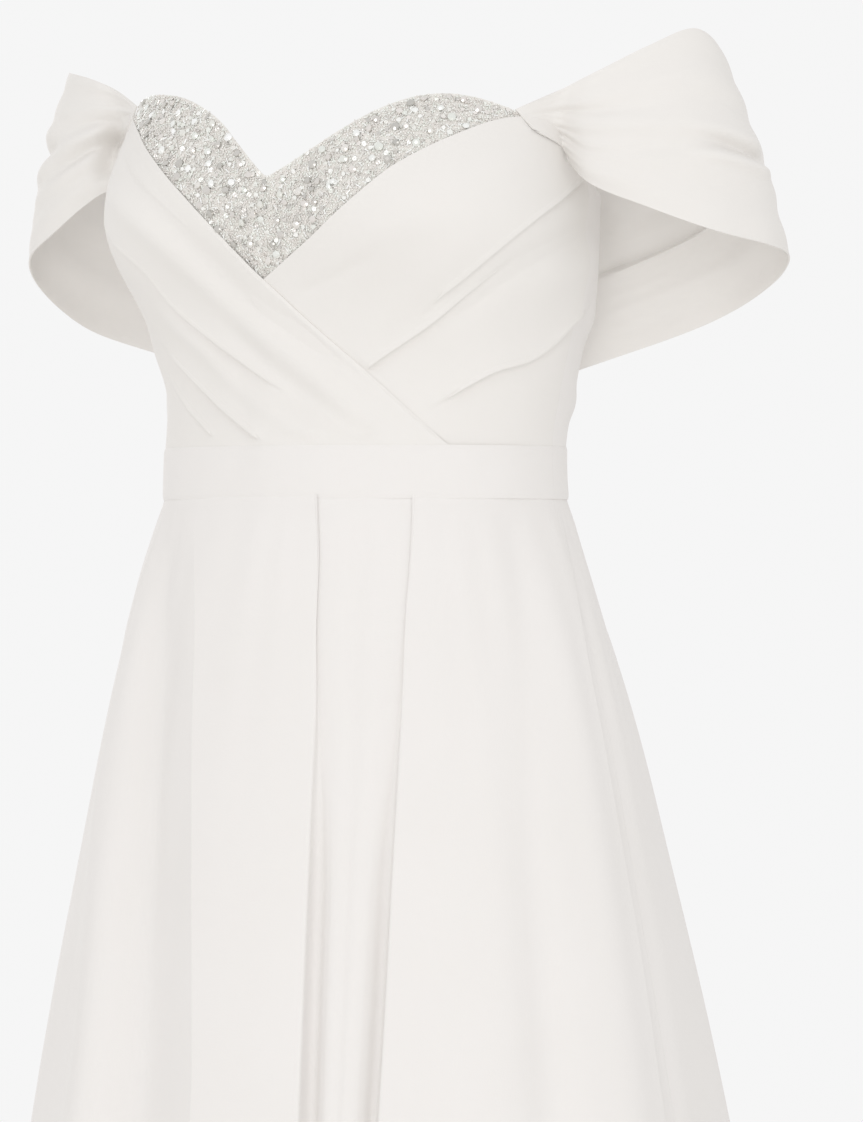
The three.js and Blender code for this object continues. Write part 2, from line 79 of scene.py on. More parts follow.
@dataclass(frozen=True)
class Table:
    """A short table of sizes, read by a smooth curve along its first column.

    Args:
        names: The columns' names.
        rows: One row for each section.
        even: Whether the curve's bend runs on evenly through each section.
    """

    names: tuple[str, ...]
    rows: tuple[tuple[float, ...], ...]
    even: bool = False

    def read(self, name: str, at: Array | float) -> Array:
        """Reads one column.

        Args:
            name: The column.
            at: Where along the first one.

        Returns:
            Its values there.
        """
        rows = sorted(self.rows)
        key = np.array([row[0] for row in rows])
        value = np.array([row[self.names.index(name)] for row in rows])
        at = np.clip(np.asarray(at, float), key[0], key[-1])
        k = np.clip(np.searchsorted(key, at, side="right") - 1, 0, len(key) - 2)
        if self.even:
            bend = self.bends(key, value)
            gap = np.diff(key)[k]
            a, b = (key[k + 1] - at) / gap, (at - key[k]) / gap
            curve = ((a**3 - a) * bend[k] + (b**3 - b) * bend[k + 1]) * gap**2 / 6
            return a * value[k] + b * value[k + 1] + curve
        slope = np.empty_like(value)
        slope[1:-1] = (value[2:] - value[:-2]) / (key[2:] - key[:-2])
        slope[0] = (value[1] - value[0]) / (key[1] - key[0])
        slope[-1] = (value[-1] - value[-2]) / (key[-1] - key[-2])
        step = key[k + 1] - key[k]
        q = (at - key[k]) / step
        rise = q * q * (3.0 - 2.0 * q)
        pull = q * (1 - q) ** 2 * step * slope[k] + q * q * (q - 1) * step * slope[k + 1]
        return value[k] * (1 - rise) + value[k + 1] * rise + pull

    @staticmethod
    def bends(key: Array, value: Array) -> Array:
        """Gives the second slopes of the even curve through some values.

        Args:
            key: Where the values lie.
            value: The values.

        Returns:
            One second slope for each value, 0 at both ends.
        """
        gap = np.diff(key)
        matrix = np.eye(len(key))
        right = np.zeros(len(key))
        for i in range(1, len(key) - 1):
            matrix[i, i - 1 : i + 2] = gap[i - 1], 2 * (gap[i - 1] + gap[i]), gap[i]
            steps = (value[i + 1] - value[i]) / gap[i] - (value[i] - value[i - 1]) / gap[i - 1]
            right[i] = 6 * steps
        return np.linalg.solve(matrix, right)


def by_height(name: str, *rows: tuple[float, float]) -> Table:
    """Makes a table of one size by height."""
    return Table(("height", name), rows)


# Heights and turns of the seams
BAND_TOP = 15.0
BAND_BOTTOM = -15.0
HEM = -1065.0
SIDE_SEAM = 90.0
BACK_SEAM = 180.0
SEAM_TURN = 0.01

# The solid walls that the cloth lies in, and the room between the layers of the front
WALL = 1.5
BAND_WALL = 2.2
LAYER = 1.7
# The deepest that a fold may sink, and how much less where the net or a wrap lies below
DEEPEST = -2.4
NET_ROOM = 1.6
WRAP_ROOM = 1.1
# How far the net and the under wrap run on under what covers them
NET_UNDERLAP = 17.0
WRAP_UNDERLAP = 25.0
# How much of the bodice one degree is, for the creases and the trimmings
MM_PER_DEGREE = 2.3

# The cups: the height and the turn of their fullest point, and how far they stand out
CUP_HEIGHT = 148.0
CUP_TURN = 40.0
CUP_OUT = 27.0

TORSO = Table(
    ("height", "width", "front", "back", "shift"),
    (
        (-15, 120.5, 90.5, 93.5, 0),
        (15, 119.5, 89.5, 92.5, 0),
        (45, 121.5, 91, 93.5, 6),
        (75, 127.5, 94.5, 97, 7),
        (105, 135.5, 98.5, 101, 6),
        (135, 138, 102.5, 103, 4),
        (165, 137.5, 102.5, 103.5, 4),
        (195, 135.5, 96.5, 102.5, 3),
        (225, 131.5, 87.5, 100.5, 2),
    ),
    even=True,
)
SKIRT = Table(
    ("height", "width", "front", "back", "shift"),
    (
        (-15, 119.8, 91, 93, 0),
        (-60, 135, 106, 108, 0),
        (-110, 149.5, 117, 121, 1),
        (-160, 161, 129, 135, 3),
        (-210, 170.5, 139, 147, 5),
        (-300, 187.5, 156, 168, 8.5),
        (-450, 212, 182, 201, 13),
        (-750, 256, 226, 262, 26),
        (-1065, 300, 268, 318, 34),
    ),
    even=True,
)
NECKLINE = Table(
    ("turn", "height"),
    (
        (-61, 213), (-52, 216.5), (-44, 217.2), (-36, 216), (-29, 213), (-22, 207), (-15, 197.5),
        (-9, 184.5), (-4, 172.5), (-0.8, 166), (2, 168.5), (8, 177.5), (16, 190.5), (24, 201.5),
        (32, 208.5), (40, 211), (48, 209.2), (55, 205), (62, 200),
    ),
)
OVER_EDGE = Table(
    ("turn", "height"),
    (
        (-61, 206.5), (-50, 202), (-42, 194.5), (-36, 186), (-31, 178), (-26, 168.5),
        (-20.5, 156.5), (-16, 145), (-11.5, 132), (-7, 118.5), (-3.2, 108), (5.6, 87),
        (16.4, 65.7), (31, 39.5), (44.5, 17.5), (49, 11),
    ),
)
UNDER_EDGE = Table(
    ("turn", "height"),
    (
        (-6, 105), (-3.2, 108.5), (4, 120), (11, 132), (18, 146.5), (23, 157), (27.5, 166.5),
        (32, 174), (38, 182), (44, 188.5), (50, 194), (56, 197.5), (62, 199),
    ),
)
ARMHOLE = Table(
    ("turn", "height"),
    (
        (62, 199), (65, 196), (70.5, 189), (79, 178), (90, 168), (100, 160), (110, 157),
        (120, 163), (127, 171), (150, 171), (180, 167),
    ),
)
CROSSING = -3.2
BODICE_FOOT = BAND_TOP - 2.0


def stack(turn: Array) -> Array:
    """Says how far the layered front stands out: 1 over the front, 0 at the side seams."""
    return 1.0 - ease(np.abs(turn), 46, 88)


def over_stack(turn: Array) -> Array:
    """Says how many layers' room lies under the over wrap, the band and the skirt's top."""
    return stack(turn) * (1.0 + ease(turn, -16, -4))


def ring(form: Table, turn: Array, height: Array, out: Array) -> Array:
    """Gives points on the oval rings of a form.

    Args:
        form: The form's table of sections.
        turn: Turns round the body.
        height: Heights, one for each turn.
        out: How far each point stands out of its ring, level.

    Returns:
        The points, with x, y and z in a last axis.
    """
    angle = np.radians(turn)
    width = form.read("width", height)
    depth = np.where(np.cos(angle) > 0, form.read("front", height), form.read("back", height))
    outward = unit(np.stack([depth * np.sin(angle), -width * np.cos(angle)], -1))
    x = width * np.sin(angle) + outward[..., 0] * out
    y = form.read("shift", height) - depth * np.cos(angle) + outward[..., 1] * out
    return np.stack([x, y, height + 0 * x], -1)


def bodice(turn: Array, height: Array, out: Array | float) -> Array:
    """Gives points on the bodice with its two cups.

    Args:
        turn: Turns round the body.
        height: Heights, one for each turn.
        out: Distances out of the innermost layer.

    Returns:
        The points.
    """
    rise = height - CUP_HEIGHT
    upright = np.exp(-0.5 * (rise / np.where(rise > 0, 45.0, 36.0)) ** 2)
    across = sum(np.exp(-0.5 * ((turn - side * CUP_TURN) / 24.0) ** 2) for side in (-1, 1))
    return ring(TORSO, turn, height, out + CUP_OUT * upright * across)


def hand(side: int) -> str:
    """Names the wearer's side: left for 1, right for -1."""
    return "left" if side > 0 else "right"


def armhole(turn: Array) -> Array:
    """Gives the height of the armhole and back neckline at a turn on either side."""
    return ARMHOLE.read("height", np.abs(turn))


def neckline(turn: Array) -> Array:
    """Gives the height of the insert's top edge at a turn."""
    return NECKLINE.read("height", turn)


def over_top(turn: Array) -> Array:
    """Gives the top of the over wrap: its crossing edge, or its armhole at the side.

    Args:
        turn: Turns round the body.

    Returns:
        The heights there.
    """
    corner = OVER_EDGE.rows[0]
    lift = (corner[1] - ARMHOLE.rows[0][1]) * ease(turn, -76, corner[0])
    return np.where(turn > corner[0], OVER_EDGE.read("height", turn), armhole(turn) + lift)


def under_top(turn: Array) -> Array:
    """Gives the top of the under wrap: its neckline edge, or its armhole at the side."""
    edge = UNDER_EDGE.read("height", turn)
    return np.where(turn < UNDER_EDGE.rows[-1][0], edge, armhole(turn))


def net_foot(turn: Array) -> Array:
    """Gives the height where the insert goes in under the wraps."""
    over = OVER_EDGE.read("height", turn)
    return np.where(turn < CROSSING, over, UNDER_EDGE.read("height", turn))


def over_foot(turn: Array) -> Array:
    """Gives the height below which the over wrap covers the under one."""
    return np.where(turn < OVER_EDGE.rows[-1][0], OVER_EDGE.read("height", turn), 0.0)


def smooth_path(points: Array, count: int) -> Array:
    """Puts a smooth curve through points.

    Args:
        points: The points, one in each row.
        count: How many places to give along the curve.

    Returns:
        Places on the curve, evenly spaced by the points' own chords.
    """
    chords = np.linalg.norm(np.diff(points, axis=0), axis=1) ** 0.5
    at = np.concatenate([[0.0], np.cumsum(chords)])
    names = ("at",) + tuple(f"c{k}" for k in range(points.shape[1]))
    table = Table(names, tuple((t, *p) for t, p in zip(at, points.tolist())))
    places = np.linspace(0.0, at[-1], count)
    return np.stack([table.read(name, places) for name in names[1:]], -1)


def waver(across: Array, along: Array, seed: int, size: float) -> Array:
    """Gives the slight unevenness of hanging cloth.

    Args:
        across: One coordinate on the cloth, in millimetres.
        along: The other coordinate.
        seed: Picks the waves.
        size: The typical height of the result, in millimetres.

    Returns:
        Heights, with the shape of the coordinates.
    """
    draw = np.random.default_rng(seed)
    total = np.zeros(np.broadcast(across, along).shape)
    for _ in range(7):
        length = draw.uniform(32.0, 120.0)
        lean = draw.uniform(-0.5, 0.5)
        phase = draw.uniform(0.0, 2 * math.pi)
        total += np.sin(2 * math.pi * (across + lean * along) / length + phase)
    return total * size / 7**0.5


class Edge(Enum):
    """How a fold lies: rolled softly on both sides, or pressed with a lip over a hollow."""

    SOFT = "soft"
    PRESSED = "pressed"


@dataclass(frozen=True)
class Fold:
    """A fold along a curve on a bodice panel.

    Args:
        path: Turns and heights of places along the fold.
        rise: How far it stands out, or in where it is negative.
        spread: How far it reaches to its side.
        edge: Soft, or pressed with its lip on the left of the path.
        hollow: How deep a pressed fold's hollow is beside the lip.
        fade: The shares of its length over which it starts and ends.
    """

    path: tuple[tuple[float, float], ...]
    rise: float
    spread: float
    edge: Edge = Edge.SOFT
    hollow: float = 0.0
    fade: tuple[float, float] = (0.3, 0.3)

    def height_at(
        self, turn: Array, height: Array, scale: tuple = (MM_PER_DEGREE, 1.0)
    ) -> Array:
        """Gives how high the fold stands.

        Args:
            turn: First coordinates of places on the panel, such as turns.
            height: Second coordinates, such as heights.
            scale: How many millimetres one unit of each coordinate is.

        Returns:
            The distance out at each place.
        """
        line = smooth_path(np.array(self.path, float) * np.array(scale), 34)
        turn, height = np.broadcast_arrays(turn, height)
        here = np.stack([turn * scale[0], height * scale[1]], -1).reshape(-1, 2)
        best = np.full(len(here), np.inf)
        signed = np.zeros(len(here))
        share = np.zeros(len(here))
        for k in range(len(line) - 1):
            run = line[k + 1] - line[k]
            away = here - line[k]
            q = away @ run / (run @ run)
            inside = np.clip(q, 0.0, 1.0)
            gap = np.linalg.norm(away - inside[:, None] * run, axis=1)
            nearer = gap < best
            best[nearer] = gap[nearer]
            turned = run[0] * away[:, 1] - run[1] * away[:, 0]
            signed[nearer] = (np.sign(turned) * gap)[nearer]
            share[nearer] = ((k + inside) / (len(line) - 1))[nearer]
        ends = ease(share, 0.0, self.fade[0]) * (1 - ease(share, 1 - self.fade[1], 1.0))
        if self.edge is Edge.SOFT:
            form = self.rise * np.exp(-0.5 * (signed / self.spread) ** 2)
        else:
            lip_side = 1.0 / (1.0 + np.exp(-np.clip(signed / 0.45, -30, 30)))
            lip = self.rise * np.exp(-np.maximum(signed, 0.0) / self.spread)
            hollow = self.hollow * np.exp(np.minimum(signed, 0.0) / (0.7 * self.spread))
            form = lip * lip_side - hollow * (1 - lip_side)
        past_end = np.exp(-0.5 * (np.maximum(best - 3 * self.spread, 0) / self.spread) ** 2)
        return (form * ends * past_end).reshape(np.shape(turn))


OVER_FOLDS = (
    Fold(((-52, 190), (-42, 176), (-35, 163), (-23.5, 138), (-15, 113), (-8, 93), (1, 80),
          (15.5, 58), (30, 34)), -2.5, 6.0, fade=(0.15, 0.3)),
    Fold(((-56, 178), (-44, 161), (-31.5, 141), (-18.5, 106), (-8, 82), (4, 61), (18, 36),
          (26, 22)), 3.2, 6.5, fade=(0.2, 0.2)),
    Fold(((-56, 146), (-46, 132), (-37, 115), (-33, 95), (-22, 74), (-6, 51), (4, 38)),
         2.6, 8.0, Edge.PRESSED, 1.8, (0.2, 0.25)),
    Fold(((-22, 92), (-8, 64), (2, 47), (15.5, 28.5), (26, 15)), -2.4, 5.0, fade=(0.3, 0.1)),
    Fold(((-46, 100), (-28, 71), (-15, 48), (4, 25), (12, 15)), 2.6, 5.5, fade=(0.25, 0.1)),
    Fold(((-52, 78), (-39.5, 60), (-25.5, 40.5), (-11.5, 22.5), (-6, 16)),
         2.4, 7.0, Edge.PRESSED, 1.6, (0.2, 0.15)),
    Fold(((-58, 64), (-42, 41.5), (-33, 30), (-24, 18)), 1.6, 4.5, Edge.PRESSED, 0.9,
         (0.25, 0.15)),
    Fold(((-104, 128), (-88, 108), (-74, 84), (-64, 64), (-54, 46)), 2.2, 7.0,
         fade=(0.2, 0.3)),
    Fold(((-104, 84), (-88, 66), (-76, 46), (-66, 30)), 1.6, 6.0, fade=(0.2, 0.3)),
    Fold(((-100, 150), (-84, 140), (-74, 124), (-66, 108), (-56, 92)), -1.8, 6.5,
         fade=(0.2, 0.3)),
)
UNDER_FOLDS = (
    Fold(((34, 84), (38.5, 95), (44, 105.5), (51, 120), (58.5, 134), (66.5, 146), (83, 163.5),
          (94, 168)), 2.0, 9.0, Edge.PRESSED, 1.3, (0.2, 0.08)),
    Fold(((20, 54), (23.5, 60.5), (31, 71.5), (38, 82.5), (46.5, 99.5), (53, 112), (60, 124)),
         2.4, 6.5, Edge.PRESSED, 2.2, (0.1, 0.35)),
    Fold(((38, 74), (44, 90), (52, 105), (65, 121), (88, 137), (108, 146)), -2.7, 6.5,
         fade=(0.25, 0.15)),
    Fold(((14, 60), (24, 78), (34, 102), (44, 122), (56, 142)), 1.1, 6.0, fade=(0.3, 0.4)),
    Fold(((36, 32), (45, 42), (50, 48), (58.5, 56.5), (70, 62.5), (79, 72), (88, 85),
          (102, 98)), 3.2, 9.0, Edge.PRESSED, 1.8, (0.25, 0.15)),
    Fold(((60, 100), (70, 106), (88, 116), (106, 124)), 1.6, 8.0, fade=(0.4, 0.2)),
    Fold(((2, 97), (15.5, 109.5), (29, 125)), -1.0, 2.6, fade=(0.25, 0.4)),
    Fold(((6, 108), (16, 120), (28, 134), (42, 150)), 0.9, 6.0, fade=(0.3, 0.4)),
    Fold(((46, 164), (58, 174), (68, 182)), 1.0, 5.0, fade=(0.4, 0.3)),
)

# Slight drag creases of the bodice back, with the turns measured on either side
BACK_FOLDS = (
    Fold(((104, 126), (122, 112), (146, 104), (170, 102)), -1.9, 6.0, fade=(0.25, 0.4)),
    Fold(((98, 96), (118, 84), (140, 70), (160, 63)), 2.2, 6.5, fade=(0.25, 0.35)),
    Fold(((108, 70), (126, 56), (144, 44), (158, 36)), -2.0, 5.0),
    Fold(((96, 52), (112, 40), (130, 30), (142, 24)), 1.9, 4.5),
)


def draped(side: int, turn: Array, height: Array) -> Array:
    """Gives how far the folds and the slight unevenness of one side's wrap stand out.

    Args:
        side: 1 for the under wrap, on the wearer's left, -1 for the over wrap.
        turn: Turns of places on the wrap.
        height: Their heights.

    Returns:
        The distance out at each place.
    """
    folds, seed = (UNDER_FOLDS, 5) if side > 0 else (OVER_FOLDS, 3)
    drape = sum(fold.height_at(turn, height) for fold in folds)
    return drape + waver(turn * MM_PER_DEGREE, height, seed, 0.18)


def weave_grid(
    columns: Array, low: Callable | float, high: Callable | float, rows: int
) -> tuple[Array, Array]:
    """Spreads a grid over a panel between two edges.

    Args:
        columns: The turns of the grid's columns.
        low: The lower edge's height, or what gives it at a turn.
        high: The upper edge's height, or what gives it at a turn.
        rows: How many rows of points there are.

    Returns:
        The turns and the heights of the points, each columns by rows.
    """
    share = np.linspace(0.0, 1.0, rows)
    turn = np.repeat(columns[:, None], rows, 1)
    low, high = (edge(turn) if callable(edge) else edge + 0 * turn for edge in (low, high))
    return turn, low * (1 - share) + high * share


@dataclass
class Cloth:
    """Turns a grid of points into one thin piece of cloth with its map and walls.

    Args:
        name: The piece's name.
        points: Points in millimetres, columns by rows by 3.
        thickness: The cloth's thickness in millimetres.
        flipped: Whether the columns run the other way round the outside.
        offset: -1 where the points are the outer face, 0 where they are the middle.
    """

    name: str
    points: Array
    thickness: float
    flipped: bool = False
    offset: float = -1.0

    def lengths(self) -> tuple[Array, Array]:
        """Gives each point's distance across and along the cloth, for the weave.

        Returns:
            The distances across and those along, for each point.
        """
        across = np.linalg.norm(np.diff(self.points, axis=0), axis=2)
        along = np.linalg.norm(np.diff(self.points, axis=1), axis=2)
        middle = across.shape[1] // 2
        u = np.concatenate([[0.0], np.cumsum(across[:, middle])])
        v = np.concatenate([np.zeros((len(self.points), 1)), np.cumsum(along, 1)], 1)
        return np.repeat(u[:, None], self.points.shape[1], 1), v

    def build(self) -> Piece:
        """Makes the mesh, gives it its thickness and smooths it.

        Returns:
            The new object, at the origin.
        """
        columns, rows = self.points.shape[:2]
        index = np.arange(columns * rows).reshape(columns, rows)
        quads = np.stack(
            [index[:-1, :-1], index[1:, :-1], index[1:, 1:], index[:-1, 1:]], -1
        ).reshape(-1, 4)
        if self.flipped:
            quads = quads[:, ::-1]
        mesh = bpy.data.meshes.new(self.name)
        mesh.from_pydata((self.points.reshape(-1, 3) * MM).tolist(), [], quads.tolist())
        u, v = self.lengths()
        flat = np.stack([u.ravel(), v.ravel()], -1)[quads.ravel()] * MM
        mesh.uv_layers.new(name="UVMap").data.foreach_set("uv", flat.ravel())
        mesh.validate()
        piece = link(self.name, mesh)
        select_only(piece)
        walls = piece.modifiers.new("walls", "SOLIDIFY")
        walls.thickness = self.thickness * MM
        walls.offset = self.offset
        bpy.ops.object.modifier_apply(modifier=walls.name)
        bpy.ops.object.shade_smooth_by_angle(angle=math.radians(50))
        return piece


def settle(piece: Piece, node: str | None = None) -> Piece:
    """Joins a piece to the gown.

    Args:
        piece: The cloth or the trimmings.
        node: The solid that the piece stands for.

    Returns:
        The piece.
    """
    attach(piece, "root")
    if node:
        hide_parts(node)
    return piece


def link(name: str, data: bpy.types.ID) -> Piece:
    """Makes an object of a mesh, a light or a camera and puts it in the scene.

    Args:
        name: The object's name.
        data: Its mesh, light or camera.

    Returns:
        The object.
    """
    made = bpy.data.objects.new(name, data)
    bpy.context.collection.objects.link(made)
    return made


@contextmanager
def editing() -> Iterator[None]:
    """Edits the active object's mesh, with all of it selected.

    Yields:
        Nothing, while the mesh is open.
    """
    bpy.ops.object.mode_set(mode="EDIT")
    bpy.ops.mesh.select_all(action="SELECT")
    yield
    bpy.ops.object.mode_set(mode="OBJECT")


def select_only(piece: Piece) -> None:
    """Deselects everything, then selects one piece and makes it active.

    Args:
        piece: The piece.
    """
    bpy.ops.object.select_all(action="DESELECT")
    piece.select_set(True)
    bpy.context.view_layer.objects.active = piece


def join(main_piece: Piece, others: list[Piece]) -> None:
    """Joins some pieces into a main one.

    Args:
        main_piece: The piece that stays.
        others: The pieces that go into it.
    """
    select_only(main_piece)
    for other in others:
        other.select_set(True)
    bpy.ops.object.join()


def linear(code: str) -> tuple[float, float, float, float]:
    """Turns an sRGB hex value into Blender's linear colour.

    Args:
        code: The hex value, such as #e9e6e4.

    Returns:
        Red, green, blue and a full alpha.
    """
    channels = [int(code[k : k + 2], 16) / 255 for k in (1, 3, 5)]
    curved = [c / 12.92 if c <= 0.04045 else ((c + 0.055) / 1.055) ** 2.4 for c in channels]
    return (*curved, 1.0)


def add_node(
    tree: bpy.types.NodeTree, kind: str, links: dict | None = None, **settings: object
) -> bpy.types.Node:
    """Adds one node with its settings and links.

    Args:
        tree: The material's or world's node tree.
        kind: The node's type.
        links: The value or the socket that goes to each named or numbered input.
        **settings: The node's own properties.

    Returns:
        The node.
    """
    node = tree.nodes.new(kind)
    for key, value in settings.items():
        setattr(node, key, value)
    for key, value in (links or {}).items():
        if isinstance(value, bpy.types.NodeSocket):
            tree.links.new(value, node.inputs[key])
        else:
            node.inputs[key].default_value = value
    return node


def start_material(
    name: str, values: dict
) -> tuple[bpy.types.Material, bpy.types.NodeTree, bpy.types.ShaderNode]:
    """Starts a material.

    Args:
        name: The material's name.
        values: The values that go to the shader's own inputs.

    Returns:
        The material, its node tree and its shader.
    """
    material = bpy.data.materials.new(name)
    material.use_nodes = True
    shader = material.node_tree.nodes["Principled BSDF"]
    for key, value in values.items():
        shader.inputs[key].default_value = value
    return material, material.node_tree, shader


@dataclass(frozen=True)
class WovenFinish:
    """A woven cloth's finish.

    Args:
        name: The material's name, for its fibre and weave.
        colour: The cloth's colour.
        shade: The slightly deeper colour that it takes in patches.
        thread_mm: The size of the pebbles that the twisted threads make.
        roughness: The surface's roughness.
        sheen: The weight of its sheen.
        grain: How strongly the weave stands out.
    """

    name: str
    colour: str
    shade: str
    thread_mm: float
    roughness: float
    sheen: float
    grain: float

    def make(self) -> bpy.types.Material:
        """Makes the material.

        Returns:
            The material, with its weave on the piece's own map.
        """
        material, tree, shader = start_material(
            self.name,
            {"Sheen Weight": self.sheen, "Sheen Roughness": 0.45,
             "Sheen Tint": linear(self.colour), "IOR": 1.45, "Specular IOR Level": 0.28},
        )
        place = add_node(tree, "ShaderNodeUVMap", uv_map="UVMap").outputs["UV"]
        pebble, slub, patches = (
            add_node(
                tree, "ShaderNodeTexNoise",
                {"Vector": place, "Scale": scale, "Detail": 3.0, "Roughness": rough},
            ).outputs["Fac"]
            for scale, rough in (
                (1000.0 / self.thread_mm, 0.6), (160.0 / self.thread_mm, 0.5), (11.0, 0.5)
            )
        )
        grain = add_node(tree, "ShaderNodeMath", {0: pebble, 1: slub}, operation="ADD")
        bump = add_node(
            tree, "ShaderNodeBump",
            {"Strength": self.grain, "Distance": 0.00015, "Height": grain.outputs[0]},
        )
        tint = add_node(tree, "ShaderNodeMix", {"Factor": patches}, data_type="RGBA")
        # The colour sockets of a Mix node share their names with its number sockets
        colours = [socket for socket in tint.inputs if socket.type == "RGBA"]
        colours[0].default_value = linear(self.colour)
        colours[1].default_value = linear(self.shade)
        mixed = next(socket for socket in tint.outputs if socket.type == "RGBA")
        rough = add_node(
            tree, "ShaderNodeMapRange",
            {"Value": slub, "To Min": self.roughness - 0.06, "To Max": self.roughness + 0.06},
        )
        tree.links.new(mixed, shader.inputs["Base Color"])
        tree.links.new(rough.outputs["Result"], shader.inputs["Roughness"])
        tree.links.new(bump.outputs["Normal"], shader.inputs["Normal"])
        return material


# Polyester crepe, woven matt from twisted threads: pebbled and soft, with hardly any shine
CREPE = WovenFinish("ivory_polyester_crepe", "#e9e6e4", "#e6e3e0", 1.1, 0.82, 0.03, 0.3)
# Chiffon draped over lining: finer, slightly cooler, and a little smoother in its folds
CHIFFON = WovenFinish("ivory_draped_chiffon", "#e8e5e2", "#e5e2de", 0.9, 0.78, 0.03, 0.25)
# The net of the insert, which shows between the beads
TULLE = WovenFinish("ivory_tulle_net", "#e9e6e1", "#e0ddd8", 1.2, 0.6, 0.05, 0.4)


@dataclass(frozen=True)
class GlintFinish:
    """The finish of small clear or silvered trimmings.

    Args:
        name: The material's name.
        pale: The palest tint.
        deep: The deepest tint; on the sequins and the stones it is painted shade for some copies.
        metallic: How silvered it is.
        roughness: The surface's roughness.
    """

    name: str
    pale: str
    deep: str
    metallic: float
    roughness: float

    def make(self) -> bpy.types.Material:
        """Makes the material, tinted from bead to bead by the piece's own attribute.

        Returns:
            The material.
        """
        material, tree, shader = start_material(self.name, {"Metallic": self.metallic})
        pick = add_node(tree, "ShaderNodeAttribute", attribute_name="tint")
        ramp = add_node(tree, "ShaderNodeValToRGB", {"Fac": pick.outputs["Fac"]})
        # Painted shade: the deep tint greys a random share of the sequins and the stones, as if
        # they were tipped away from the light
        ramp.color_ramp.elements[0].color = linear(self.deep)
        ramp.color_ramp.elements[1].color = linear(self.pale)
        # A faint pink and a faint green flash between the two tints
        for place, flash in ((0.45, "#ece7e3"), (0.65, "#e9ebe5")):
            ramp.color_ramp.elements.new(place).color = linear(flash)
        rough = add_node(
            tree, "ShaderNodeMapRange",
            {"Value": pick.outputs["Fac"], "To Min": self.roughness,
             "To Max": self.roughness + 0.12},
        )
        tree.links.new(ramp.outputs["Color"], shader.inputs["Base Color"])
        tree.links.new(rough.outputs["Result"], shader.inputs["Roughness"])
        return material


GLINTS = {
    # Clear glass over the ivory net
    "seed_beads": GlintFinish("clear_glass_seed_beads", "#f6f5f2", "#dcdad6", 0.0, 0.22),
    # The short bright strokes between the seed beads
    "bugle_beads": GlintFinish("silver_lined_glass_tubes", "#ffffff", "#d9d7d3", 0.45, 0.15),
    # Painted shade: a random share of the sequins is tinted pale grey, as if tipped away from the
    # light
    "sequins": GlintFinish("clear_moulded_sequins", "#fbfaf8", "#c3c1bd", 0.4, 0.1),
    # The brightest points, with painted shade: a random share of the stones is tinted grey
    "stones": GlintFinish("foiled_cut_stones", "#ffffff", "#c4c2bd", 0.75, 0.05),
}


